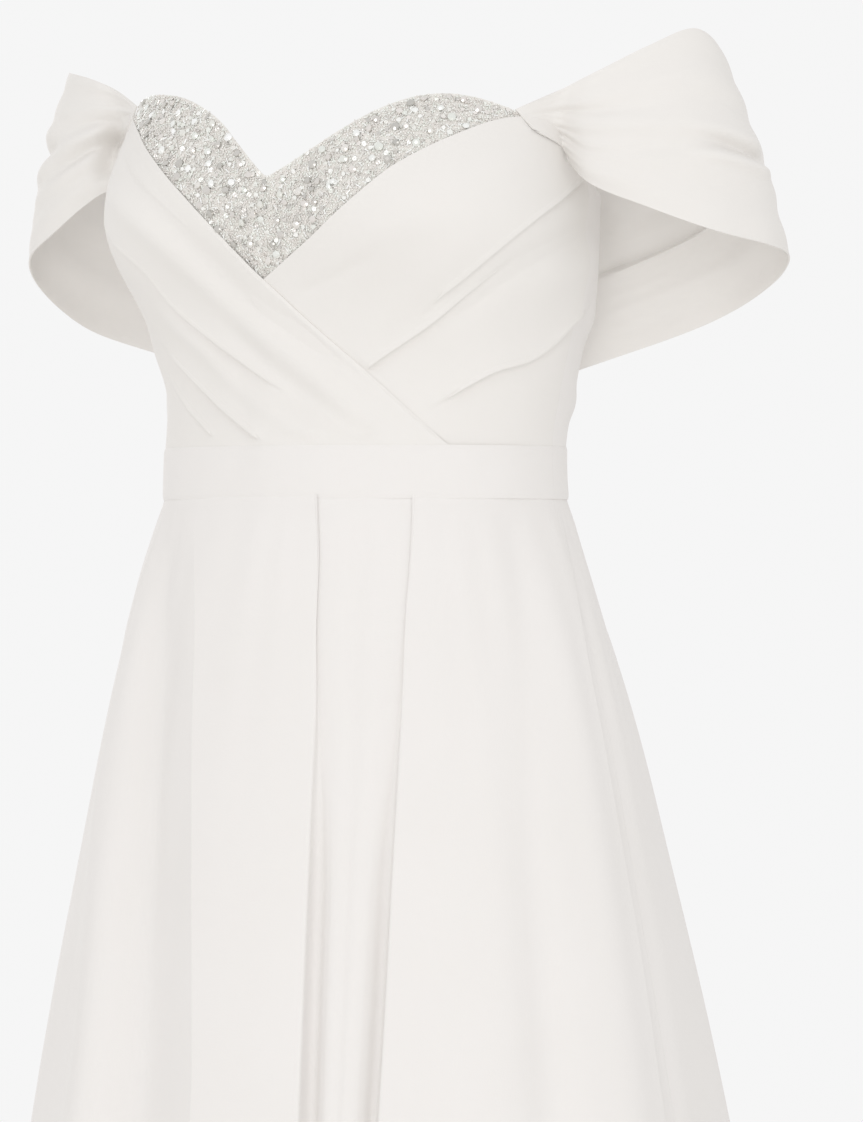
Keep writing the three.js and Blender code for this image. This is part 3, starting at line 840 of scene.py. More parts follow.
@dataclass
class Bodice:
    """The bodice: the insert's net, the two draped wraps and the two back halves."""

    cloth_mm: float = 0.8
    net_mm: float = 0.7
    edge_roll: float = 0.7
    edge_reach: float = 3.2
    # How far the crossing edge is turned under, and how near to the edge
    crossing_sink: float = 0.9
    crossing_reach: float = 1.8
    seam_dip: float = 0.3
    # The right back half's creases lie this much off the left one's
    back_shift: float = 6.0
    tuck_mm: float = 0.35
    # How far on the lip's side the panel is read, so that the edge hangs over the hollow
    tuck_seat: float = 0.9
    # The section of a fold's crisp edge: distance towards the lip's side, and height
    tuck_profile: tuple = (
        (0.5, -0.9), (0.0, -0.35), (-0.25, 0.1), (-0.15, 0.4), (0.2, 0.55), (0.9, 0.5),
        (2.0, 0.25), (3.5, -0.05), (5.0, -0.6),
    )

    def edge_lip(self, distance: Array) -> Array:
        """Gives the slight roll where the cloth is turned under at a free edge."""
        return self.edge_roll * np.exp(-((distance / self.edge_reach) ** 2))

    def insert_net(self) -> Piece:
        """Makes the heart-shaped net that carries the sequins.

        Returns:
            The piece.
        """
        columns = np.linspace(-61.5, 61.5, 150)
        turn, height = weave_grid(columns, lambda t: net_foot(t) - NET_UNDERLAP, neckline, 30)
        out = WALL + self.edge_lip(neckline(turn) - height) * 0.6
        net = Cloth("insert_net", bodice(turn, height, out), self.net_mm).build()
        return settle(net, "sweetheart_insert")

    def over_points(self, turn: Array, height: Array) -> Array:
        """Gives points on the over wrap's outer face.

        Args:
            turn: Turns of the points.
            height: Their heights.

        Returns:
            The points.
        """
        down = over_top(turn) - height
        drape = draped(-1, turn, height) * (ease(down, 0.5, 8) * ease(height, BODICE_FOOT, 24))
        over_net = (1 - ease(turn, -14, -8)) * (1 - ease(down, 15, 22)) * ease(turn, -66, -60)
        over_wrap_under = ease(turn, -12, -7) * (1 - ease(down, 24, 32))
        lowest = DEEPEST + NET_ROOM * over_net + WRAP_ROOM * over_wrap_under
        out = LAYER * over_stack(turn) + WALL + np.maximum(drape, lowest)
        crossed = ease(turn, -20, -8)
        lip = self.edge_lip(down * 0.75) * (0.4 - 0.4 * crossed)
        sunk = self.crossing_sink * crossed * np.exp(-((down / self.crossing_reach) ** 2))
        out = out + (lip - sunk) * ease(height, BAND_TOP, 24)
        return bodice(turn, height, out)

    def under_points(self, turn: Array, height: Array) -> Array:
        """Gives points on the under wrap's outer face.

        Args:
            turn: Turns of the points.
            height: Their heights.

        Returns:
            The points.
        """
        down = under_top(turn) - height
        room = ease(height - over_foot(turn), -1, 5) * ease(down, 0.5, 8)
        drape = draped(1, turn, height) * (room * ease(height, BODICE_FOOT, 24))
        over_net = (1 - ease(down, 15, 22)) * ease(-turn, -66, -60)
        out = LAYER * stack(turn) + WALL + np.maximum(drape, DEEPEST + NET_ROOM * over_net)
        lip = self.edge_lip(down * 0.75) * 0.4
        return bodice(turn, height, out + lip)

    def wrap(
        self, name: str, turn: Array, height: Array, face: Callable, folds: tuple[Fold, ...]
    ) -> Piece:
        """Makes one wrap, with the crisp edges of its pressed folds.

        Args:
            name: The piece's name.
            turn: Turns of its grid.
            height: Heights of its grid.
            face: Gives points on its outer face.
            folds: Its folds.

        Returns:
            The piece.
        """
        wrap = Cloth(name, face(turn, height), self.cloth_mm).build()
        join(wrap, [self.tuck(fold, face) for fold in folds if fold.edge is Edge.PRESSED])
        return wrap

    def wrap_over(self) -> Piece:
        """Makes the wearer's right front, with its pressed and rolled folds.

        Returns:
            The piece.
        """
        turn, height = weave_grid(
            np.linspace(SEAM_TURN - SIDE_SEAM, 47.5, 210),
            BODICE_FOOT,
            lambda t: np.maximum(over_top(t), BODICE_FOOT + 1.2),
            150,
        )
        wrap = self.wrap("wrap_over_cloth", turn, height, self.over_points, OVER_FOLDS)
        return settle(wrap, "wrap_over")

    def wrap_under(self) -> Piece:
        """Makes the wearer's left front, which runs a little way under the over wrap.

        Returns:
            The piece.
        """
        turn, height = weave_grid(
            np.linspace(-5.5, SIDE_SEAM - SEAM_TURN, 170),
            lambda t: np.maximum(BODICE_FOOT, over_foot(t) - WRAP_UNDERLAP),
            under_top,
            140,
        )
        wrap = self.wrap("wrap_under_cloth", turn, height, self.under_points, UNDER_FOLDS)
        return settle(wrap, "wrap_under")

    def tuck(self, fold: Fold, face: Callable) -> Piece:
        """Makes the crisp edge of a pressed fold, where the cloth doubles back under itself.

        Args:
            fold: The pressed fold.
            face: Gives points on the panel's outer face.

        Returns:
            The fold's edge, to be joined to its panel.
        """
        scale = np.array([MM_PER_DEGREE, 1.0])
        line = smooth_path(np.array(fold.path, float) * scale, 90)
        run = unit(np.gradient(line, axis=0))
        aside = np.stack([-run[:, 1], run[:, 0]], 1)
        profile = np.array(self.tuck_profile)
        place = line[:, None] + aside[:, None] * profile[None, :, :1]
        share = np.linspace(0, 1, len(line))
        ends = ease(share, 0.3 * fold.fade[0], fold.fade[0]) * (
            1 - ease(share, 1 - fold.fade[1], 1 - 0.3 * fold.fade[1])
        )
        seat = line[:, None] + aside[:, None] * np.maximum(profile[None, :, :1], self.tuck_seat)
        base = face(seat[..., 0] / MM_PER_DEGREE, seat[..., 1])
        level = bodice(seat[..., 0] / MM_PER_DEGREE, seat[..., 1], 0.0)
        out = np.linalg.norm((base - level)[..., :2], axis=2)
        rise = profile[None, :, 1] * ends[:, None] + profile[0, 1] * (1 - ends[:, None])
        points = bodice(place[..., 0] / MM_PER_DEGREE, place[..., 1], out + rise)
        return Cloth("tuck", points, self.tuck_mm).build()

    def back(self, side: int) -> Piece:
        """Makes one half of the bodice back.

        Args:
            side: 1 for the wearer's left, -1 for the right.

        Returns:
            The piece.
        """
        columns = side * np.linspace(SIDE_SEAM + SEAM_TURN, BACK_SEAM - SEAM_TURN, 80)
        turn, height = weave_grid(np.sort(columns), BODICE_FOOT, armhole, 70)
        seam = ease(np.abs(turn), 174, 179.5)
        down = armhole(turn) - height
        off_band = ease(height, BODICE_FOOT, 24)
        drape = draped(side, turn, height)
        room = ease(down, 0.5, 8) * off_band * (1 - ease(np.abs(turn), 94, 120))
        soft = waver(turn * MM_PER_DEGREE, height, 7, 0.25) * ease(np.abs(turn), 92, 105)
        shift = 0.0 if side > 0 else self.back_shift
        drags = sum(fold.height_at(np.abs(turn) - shift, height + shift) for fold in BACK_FOLDS)
        soft = soft + drags * off_band * ease(np.abs(turn), 90, 100)
        out = WALL - self.seam_dip * seam + np.maximum(drape * room, DEEPEST) + soft * (1 - seam)
        out = out + self.edge_lip(down * 0.75)
        points = bodice(turn, height, out)
        half = Cloth(f"back_{hand(side)}_cloth", points, self.cloth_mm).build()
        return settle(half, f"bodice_back_{hand(side)}")


@dataclass
class Waistband:
    """The plain band, in a front and two back lengths, folded at both long edges."""

    cloth_mm: float = 1.6
    # How far the folded edges are rolled in, and how near to the edge
    roll: float = 0.55
    roll_reach: float = 1.3

    def length(self, node: str, start: float, end: float, count: int) -> Piece:
        """Makes one length of the band.

        Args:
            node: The solid that it stands for.
            start: The turn where it starts.
            end: The turn where it ends.
            count: How many columns of points it has.

        Returns:
            The piece.
        """
        columns = np.linspace(start, end, count)
        turn, height = weave_grid(columns, BAND_BOTTOM, BAND_TOP, 16)
        from_edge = np.minimum(height - BAND_BOTTOM, BAND_TOP - height)
        roll = -self.roll * np.exp(-((from_edge / self.roll_reach) ** 2))
        soft = waver(turn * MM_PER_DEGREE, height * 2, 11, 0.16)
        out = LAYER * over_stack(turn) + BAND_WALL + roll + soft
        band = Cloth(f"{node}_cloth", bodice(turn, height, out), self.cloth_mm).build()
        return settle(band, node)

    def build(self) -> list[Piece]:
        """Makes all three lengths.

        Returns:
            The pieces.
        """
        side, back = SIDE_SEAM, BACK_SEAM
        return [
            self.length("waistband_front", SEAM_TURN - side, side - SEAM_TURN, 160),
            self.length("waistband_back_left", side + SEAM_TURN, back - SEAM_TURN, 80),
            self.length("waistband_back_right", SEAM_TURN - back, -side - SEAM_TURN, 80),
        ]


# Creases of a sleeve, placed by the share of its way round the arm and the share of its
# depth, from the top edge to the hem
LEFT_CREASES = (
    Fold(((0.0, 0.5), (0.05, 0.6), (0.10, 0.66), (0.18, 0.7), (0.37, 0.6), (0.5, 0.57)),
         -1.7, 3.2, fade=(0.05, 0.5)),
    Fold(((0.02, 0.66), (0.12, 0.82), (0.25, 0.85), (0.42, 0.78)), 2.0, 6.0, fade=(0.1, 0.4)),
    Fold(((0.0, 0.3), (0.06, 0.3), (0.14, 0.31), (0.27, 0.375), (0.42, 0.42)),
         -1.2, 3.0, fade=(0.05, 0.5)),
    Fold(((0.0, 0.4), (0.05, 0.42), (0.12, 0.5)), 1.2, 2.4, fade=(0.05, 0.6)),
    Fold(((0.0, 0.15), (0.05, 0.17), (0.2, 0.14), (0.42, 0.2)), 1.1, 4.5, fade=(0.05, 0.4)),
    Fold(((0.18, 0.52), (0.3, 0.5), (0.42, 0.5)), 1.0, 4.0, fade=(0.4, 0.4)),
    Fold(((0.34, 0.48), (0.46, 0.49), (0.58, 0.46)), 3.2, 3.4, fade=(0.35, 0.3)),
    Fold(((0.34, 0.61), (0.46, 0.62), (0.6, 0.58)), 5.2, 3.0, fade=(0.35, 0.3)),
    Fold(((0.38, 0.55), (0.5, 0.555), (0.6, 0.52)), -3.2, 2.4),
    Fold(((0.38, 0.27), (0.47, 0.28), (0.56, 0.25)), 1.2, 4.0),
    Fold(((0.99, 0.52), (0.88, 0.53), (0.75, 0.5), (0.62, 0.42)),
         3.2, 7.0, Edge.PRESSED, 4.0, (0.1, 0.25)),
    Fold(((0.66, 0.75), (0.8, 0.78), (0.96, 0.72)), -1.6, 6.0, fade=(0.3, 0.1)),
    Fold(((0.7, 0.2), (0.84, 0.26), (0.97, 0.28)), -1.6, 5.0, fade=(0.3, 0.1)),
)
RIGHT_CREASES = (
    Fold(((0.0, 0.4), (0.06, 0.5), (0.16, 0.56), (0.3, 0.62), (0.46, 0.66)),
         -3.0, 3.8, fade=(0.03, 0.4)),
    Fold(((0.09, 0.36), (0.13, 0.46), (0.155, 0.6), (0.165, 0.78), (0.168, 0.97)),
         -12.0, 5.5, fade=(0.3, 0.25)),
    Fold(((0.02, 0.62), (0.1, 0.76), (0.24, 0.84), (0.44, 0.82)), 2.4, 6.0, fade=(0.1, 0.3)),
    Fold(((0.0, 0.25), (0.06, 0.3), (0.18, 0.36), (0.34, 0.43), (0.46, 0.45)),
         -1.7, 3.2, fade=(0.05, 0.4)),
    Fold(((0.0, 0.32), (0.08, 0.42), (0.2, 0.48), (0.4, 0.54)), 1.5, 3.6, fade=(0.1, 0.4)),
    Fold(((0.0, 0.12), (0.06, 0.14), (0.2, 0.2), (0.4, 0.26)), -1.1, 3.6, fade=(0.1, 0.4)),
    Fold(((0.3, 0.13), (0.42, 0.15), (0.52, 0.14)), 2.0, 4.6),
    Fold(((0.28, 0.33), (0.42, 0.33), (0.54, 0.31)), 4.6, 4.0),
    Fold(((0.26, 0.46), (0.42, 0.44), (0.56, 0.42)), -3.6, 3.0),
    Fold(((0.3, 0.56), (0.43, 0.55), (0.56, 0.53)), 4.0, 4.4),
    Fold(((0.34, 0.78), (0.44, 0.79), (0.56, 0.77)), 1.8, 4.2),
    Fold(((0.62, 0.46), (0.75, 0.52), (0.88, 0.54), (0.99, 0.5)), -2.0, 5.0, fade=(0.2, 0.1)),
    Fold(((0.66, 0.75), (0.8, 0.78), (0.96, 0.72)), 1.8, 6.0, fade=(0.3, 0.1)),
)


@dataclass
class Sleeve:
    """One draped sleeve band, gathered in front, round the arm and fanned behind.

    Args:
        side: 1 for the wearer's left, -1 for the right.
    """

    side: int
    arm: tuple[float, float] = (166.0, 42.0)
    back_turn: float = 127.0
    back_heights: tuple[float, float] = (166.0, 59.0)
    back_out: float = 3.1
    front_out: float = LAYER + 1.9
    # The turns past and before which its ends are held clear of the bodice, and the
    # height below which the front one is
    back_from: float = 96.0
    front_to: float = 80.0
    front_below: float = 203.0
    bulge: float = 3.5
    fold_count: float = 4.5
    fan: float = 0.22
    steps: int = 150
    rows: int = 120
    # The height of the broad folds on the wearer's left and right
    waves: tuple[float, float] = (0.9, 1.3)
    ripple_mm: float = 0.45
    ripple_count: float = 9.0
    cloth_mm: float = 0.9
    length_mm: float = 330.0
    depth_mm: float = 110.0
    # Where the top edge and the hem leave the bodice: turn and height, left and right
    front: tuple = (((59.0, 202.5), (64.5, 191.0)), ((61.5, 213.5), (62.5, 196.0)))
    # Where the top edge and the hem run, from the gather round the arm: x, y, and the
    # height on the wearer's left and right
    top: tuple = (
        (145, -37, 214, 224), (163, -31, 223, 231), (189, -13, 239, 237), (205, 12, 249.5, 239),
        (208, 42, 238, 232), (196, 70, 224, 219), (174, 86, 206, 203), (146, 87, 188, 187),
    )
    hem: tuple = (
        (138.5, -22, 179.5, 175), (161, -32, 161.5, 163), (193, -27, 148, 143), (224, -5, 135, 129),
        (241, 32, 128, 115), (235, 74, 123, 92), (211, 102, 109, 79), (166, 114, 88, 67),
    )

    def edge(self, rows: tuple, front: tuple, back_height: float) -> Array:
        """Gives one edge of the sleeve as a smooth curve.

        Args:
            rows: The edge's sections.
            front: The turn and the height where it leaves the bodice.
            back_height: The height where it ends.

        Returns:
            The places along the edge.
        """
        column = 2 if self.side > 0 else 3
        first = bodice(np.array(self.side * front[0]), np.array(front[1]), self.front_out)
        last = bodice(np.array(self.side * self.back_turn), np.array(back_height), self.back_out)
        middle = [(self.side * row[0], row[1], row[column]) for row in rows]
        return smooth_path(np.array([first, *middle, last]), self.steps)

    def clear_of_bodice(self, points: Array) -> Array:
        """Keeps both ends of the sleeve lying just outside the bodice.

        Args:
            points: The sleeve's points.

        Returns:
            The points, with those that had sunk in put back on the bodice.
        """
        x, y, height = points[..., 0], points[..., 1], points[..., 2]
        depth = (y - TORSO.read("shift", height)) / TORSO.read("back", height)
        turn = np.degrees(np.arctan2(x / TORSO.read("width", height), -depth))
        turned = np.abs(turn)
        behind = turned > self.back_from
        seat = bodice(turn, height, np.where(behind, self.back_out, self.front_out))
        inside = np.hypot(x, y) < np.hypot(seat[..., 0], seat[..., 1])
        inside &= behind | ((turned < self.front_to) & (height < self.front_below))
        return np.where(inside[..., None], seat, points)

    def build(self) -> Piece:
        """Makes the sleeve.

        Returns:
            The piece.
        """
        which = 0 if self.side > 0 else 1
        upper = self.edge(self.top, self.front[which][0], self.back_heights[0])
        lower = self.edge(self.hem, self.front[which][1], self.back_heights[1])
        around, down = np.linspace(0, 1, self.steps), np.linspace(0, 1, self.rows)
        s, w = np.meshgrid(around, down, indexing="ij")
        points = upper[:, None] * (1 - w[..., None]) + lower[:, None] * w[..., None]
        outward = unit(points[..., :2] - np.array([self.side * self.arm[0], self.arm[1]]))
        fan = ease(s, 0, self.fan) * (1 - ease(s, 1 - self.fan, 1))
        inside = np.sqrt(np.abs(np.sin(math.pi * w)))
        big = self.waves[which] * np.sin(2 * math.pi * self.fold_count * w**0.9 + 1.5 * s) * inside
        scale = (self.length_mm, self.depth_mm)
        creases = (LEFT_CREASES, RIGHT_CREASES)[which]
        folds = sum(crease.height_at(s, w, scale) for crease in creases)
        near_gather = ease(s, 0.01, 0.05) * (1 - ease(s, 0.06, 0.24))
        near_back = (1 - ease(s, 0.93, 0.99)) * ease(s, 0.72, 0.92) * 0.7
        phase = 2 * math.pi * self.ripple_count * w
        ripples = np.sin(phase + 2.0 * np.sin(7 * w + self.side)) * inside
        out = (self.bulge * inside**2 + big) * fan + folds * ease(s, 0, 0.04) * inside
        out = out + self.ripple_mm * ripples * (near_gather + near_back)
        out = out + waver(s * self.length_mm, w * self.depth_mm, 17 + self.side, 0.3) * fan
        points[..., :2] += outward * out[..., None]
        points = self.clear_of_bodice(points)
        name = f"sleeve_{hand(self.side)}_cloth"
        piece = Cloth(name, points, self.cloth_mm, flipped=self.side > 0, offset=0.0).build()
        return settle(piece, f"sleeve_{hand(self.side)}")


@dataclass
class SkirtFold:
    """A loose fold down the skirt.

    Args:
        turns: Its turn at the waist, at the hip, at the thigh and at the hem.
        start: The height where it starts.
        out: How far it stands out at the hem, or in where it is negative.
        spread: Its half width, as a turn.
    """

    turns: tuple[float, float, float, float]
    start: float
    out: float
    spread: float

    def out_at(self, turn: Array, height: Array) -> Array:
        """Gives how far the fold moves the skirt out.

        Args:
            turn: Turns round the body.
            height: Their heights.

        Returns:
            The distance out at each place.
        """
        heights = (BAND_BOTTOM, -130.0, -350.0, HEM)
        line = Table(("height", "turn"), tuple(zip(heights, self.turns)))
        away = (turn - line.read("turn", height) + 180) % 360 - 180
        growth = np.clip((self.start - height) / (self.start - HEM), 0, 1) ** 0.62
        return self.out * growth * np.exp(-0.5 * (away / self.spread) ** 2)


@dataclass
class SkirtCrease:
    """A fold edge down the skirt, past which the cloth falls back sharply and returns.

    Args:
        side: 1 where the cloth falls back at the larger turns, -1 at the smaller ones.
        near: The turn over which it falls back.
        far: The turn over which it returns.
        line: Its turn at each height.
        drop: How far it falls back at each height.
    """

    side: int
    near: float
    far: float
    line: Table
    drop: Table

    def out_at(self, turn: Array, height: Array) -> Array:
        """Gives how far the crease moves the skirt out, never more than 0.

        Args:
            turn: Turns round the body.
            height: Their heights.

        Returns:
            The distance out at each place.
        """
        away = self.side * ((turn - self.line.read("turn", height) + 180) % 360 - 180)
        past = np.clip(away, 0, self.far)
        down = 1 - np.clip(1 - past / self.near, 0, 1) ** 1.3
        back = 0.5 + 0.5 * np.cos(math.pi * (past - self.near) / (self.far - self.near))
        return -self.drop.read("drop", height) * np.where(past < self.near, down, back)


SKIRT_FOLDS = (
    SkirtFold((-56, -47, -34, -31), -40, 17, 5.2),
    SkirtFold((-72, -64, -52, -50), -90, -12, 7),
    SkirtFold((-88, -82, -72, -69), -60, 14, 8),
    SkirtFold((68, 60.5, 56, 52), -12, -11, 3.6),
    SkirtFold((84, 75, 72, 70), -10, 9, 5),
    SkirtFold((54, 50, 44, 40), -200, 8, 6),
    SkirtFold((110, 101, 99, 98), -30, -12, 9),
    SkirtFold((132, 128, 126, 124), -90, 20, 11),
    SkirtFold((150, 149, 148, 147), -50, -19, 10),
    SkirtFold((168, 168, 169, 169), -70, 17, 9),
    SkirtFold((-166, -166, -165, -165), -60, 18, 9),
    SkirtFold((-148, -146, -144, -143), -50, -18, 11),
    SkirtFold((-126, -124, -122, -120), -80, 20, 12),
    SkirtFold((-106, -103, -100, -98), -40, -17, 10),
)
RIGHT_CREASE = SkirtCrease(
    -1, 15.5, 26.0,
    by_height("turn", (-15, -33), (-25, -30.9), (-73, -22.5), (-129, -18), (-185, -14.5),
              (-241, -11.7), (-295, -9.3), (-350, -7.5), (-600, -4), (-1065, -2)),
    by_height("drop", (-15, 0), (-60, 5), (-130, 12), (-240, 16), (-374, 18), (-1065, 28)),
)
LEFT_CREASE = SkirtCrease(
    1, 2.8, 13.0,
    by_height("turn", (-15, 92.5), (-40, 90.5), (-84, 86), (-140, 84.2), (-260, 84.3),
              (-350, 83.3), (-1065, 81)),
    by_height("drop", (-15, 0), (-40, 1.5), (-100, 3), (-200, 4.2), (-374, 6), (-1065, 11)),
)
BACK_CREASES = (
    SkirtCrease(
        1, 5.0, 17.0,
        by_height("turn", (-15, 141), (-300, 138), (-1065, 136)),
        by_height("drop", (-15, 0), (-140, 5), (-400, 11), (-1065, 17)),
    ),
    SkirtCrease(
        1, 6.0, 18.0,
        by_height("turn", (-15, -112), (-300, -110), (-1065, -109)),
        by_height("drop", (-15, 0), (-140, 4), (-400, 10), (-1065, 16)),
    ),
)


def crowd(start: Array, end: Array, count: int, power: float) -> Array:
    """Spreads columns between two turns, closer together towards one of them.

    Args:
        start: The first turn of each row.
        end: The turn past the last one.
        count: How many columns there are.
        power: Over 1 crowds them at the start, under 1 at the end.

    Returns:
        The turns, one row for each of the starts.
    """
    share = np.linspace(0, 1, count, endpoint=False)[None]
    share = share**power if power > 1 else 1 - (1 - share) ** (1 / power)
    return start * (1 - share) + end * share


@dataclass
class Skirt:
    """The skirt: a front with an inverted pleat, and two back halves."""

    cloth_mm: float = 0.8
    rows: int = 170
    back_columns: int = 112
    # How many columns lie in each fold of the pleat and on the panel between them
    fold_columns: int = 36
    floor_columns: int = 16
    # The crease down the set-back panel: its height, place and width as shares of the
    # panel, and how far the panel swells forward
    panel_crease: tuple[float, float, float] = (1.4, 0.4, 0.15)
    panel_swell: float = 0.3
    pleat_edges: Table = Table(
        ("height", "left", "right"),
        (
            (-15, 10, 35.8), (-50, 11.8, 34.6), (-80, 11.8, 32.8), (-125, 12.4, 31),
            (-185, 12.6, 29.2), (-300, 12.3, 26.4), (-360, 12.3, 25.2), (-700, 11.5, 22),
            (-1065, 11, 20),
        ),
        even=True,
    )
    # How deep the pleat lies at each height, as a share of the fold below
    pleat_depth: Table = by_height(
        "share", (-15, 0.1), (-40, 0.3), (-100, 0.6), (-180, 1.6), (-280, 2.5), (-374, 3.0),
        (-600, 3.5), (-1065, 4.0),
    )
    # One side of the pleat, from the outer cloth round the fold edge to the set-back
    # panel: the distance along the ring, and the depth at the waist
    pleat_fold: tuple = (
        (-16, 0), (-6, 0), (-2, 0), (-0.6, 0.25), (-0.1, 0.8), (-0.15, 1.4), (-0.6, 2.1),
        (-1.1, 2.8), (-1.2, 3.4), (-0.6, 3.9), (0.8, 4.25), (3.5, 4.4),
    )
    # The same side lower down, where the fold opens and the panel comes forward again
    pleat_roll: tuple = (
        (-16, 0), (-6, 0), (-2, 0.05), (-0.7, 0.3), (-0.2, 0.9), (-0.1, 1.8), (0.3, 2.9),
        (1.4, 3.9), (3.4, 4.4), (6, 4.15), (9, 3.0), (12.5, 2.0),
    )

    def heights(self) -> Array:
        """Gives the heights of the rows, closer together near the waist.

        Returns:
            The heights, from the waist down.
        """
        share = np.linspace(0, 1, self.rows) ** 1.25
        top = BAND_BOTTOM + 2.0
        return top + (HEM - top) * share

    def inset(self, height: Array) -> Array:
        """Gives the turn that half a seam takes at a height."""
        return np.degrees(0.03 / SKIRT.read("front", height))

    def outer(self, turn: Array, height: Array, depth: Array) -> Array:
        """Gives the skirt's outer points.

        Args:
            turn: Turns round the body, one row for each height, from the waist down.
            height: The rows' heights.
            depth: How far each point is set back by the pleat.

        Returns:
            The points, columns by rows, from the hem up.
        """
        height = np.repeat(height, turn.shape[1], 1)
        room = LAYER * over_stack(turn) * ease(height, -90, BAND_BOTTOM)
        folds = sum(fold.out_at(turn, height) for fold in SKIRT_FOLDS)
        for crease in (RIGHT_CREASE, LEFT_CREASE, *BACK_CREASES):
            folds = folds + crease.out_at(turn, height)
        easy = ease(-height, 15, 90)
        soft = waver(turn * 3.0, height * 0.12, 23, 0.5) * easy
        gathers = np.sin(turn * 0.55 + 1.3 * np.sin(turn * 0.13)) * ease(-height, 15, 40)
        gathers = 0.3 * gathers * (1 - ease(-height, 40, 260))
        pleated = ease(turn, 2, 8) * (1 - ease(turn, 36, 42))
        rest = (folds + soft + gathers) * (1 - 0.7 * pleated)
        points = ring(SKIRT, turn, height, room + WALL + rest - depth)
        return points[::-1].transpose(1, 0, 2)

    def front(self) -> Piece:
        """Makes the front with its inverted pleat, its columns closest at the fold edges.

        Returns:
            The piece.
        """
        heights = self.heights()
        fold = smooth_path(np.array(self.pleat_fold, float), self.fold_columns)
        roll = smooth_path(np.array(self.pleat_roll, float), self.fold_columns)
        loose = ease(-heights, 90, 240)[:, None, None]
        along, depth = np.moveaxis(fold * (1 - loose) + roll * loose, -1, 0)
        left = self.pleat_edges.read("left", heights)[:, None]
        right = self.pleat_edges.read("right", heights)[:, None]
        degree = np.radians(1) * SKIRT.read("width", heights)[:, None]
        opening = self.pleat_depth.read("share", heights)[:, None]
        inset = self.inset(heights)[:, None]
        left_turn = left + along / degree
        right_turn = (right - along / degree)[:, ::-1]
        near = RIGHT_CREASE.line.read("turn", heights)[:, None]
        far = np.minimum(LEFT_CREASE.line.read("turn", heights)[:, None], SIDE_SEAM - 1.2)
        side = SIDE_SEAM - inset
        before = np.concatenate(
            [crowd(-side, near, 46, 1 / 1.5), crowd(near, left_turn[:, :1], 34, 1.4)], 1
        )
        floor = np.linspace(0, 1, self.floor_columns)[None, 1:-1]
        inner = left_turn[:, -1:] * (1 - floor) + right_turn[:, :1] * floor
        after = np.concatenate(
            [crowd(right_turn[:, -1:], far, 52, 1 / 1.4)[:, 1:], crowd(far, side, 12, 1.3), side], 1
        )
        turn = np.concatenate([before, left_turn, inner, right_turn, after], 1)
        crease, place, width = self.panel_crease
        tuck = crease * np.exp(-(((floor - place) / width) ** 2))
        swell = 1 - self.panel_swell * np.sin(math.pi * floor) ** 0.8
        inner_depth = depth[:, -1:] * opening * swell + tuck * ease(-heights, 15, 40)[:, None]
        set_back = np.concatenate(
            [
                np.zeros_like(before), depth * opening, inner_depth,
                depth[:, ::-1] * opening, np.zeros_like(after),
            ],
            1,
        )
        points = self.outer(turn, heights[:, None], set_back)
        piece = Cloth("skirt_front_cloth", points, self.cloth_mm).build()
        return settle(piece, "skirt_front")

    def back(self, side: int) -> Piece:
        """Makes one half of the back.

        Args:
            side: 1 for the wearer's left, -1 for the right.

        Returns:
            The piece.
        """
        heights = self.heights()
        inset = self.inset(heights)[:, None]
        share = np.linspace(0, 1, self.back_columns)[None]
        turn = (SIDE_SEAM + inset) * (1 - share) + (BACK_SEAM - inset) * share
        turn = turn if side > 0 else -turn[:, ::-1]
        points = self.outer(turn, heights[:, None], np.zeros_like(turn))
        piece = Cloth(f"skirt_back_{hand(side)}_cloth", points, self.cloth_mm).build()
        return settle(piece, f"skirt_back_{hand(side)}")


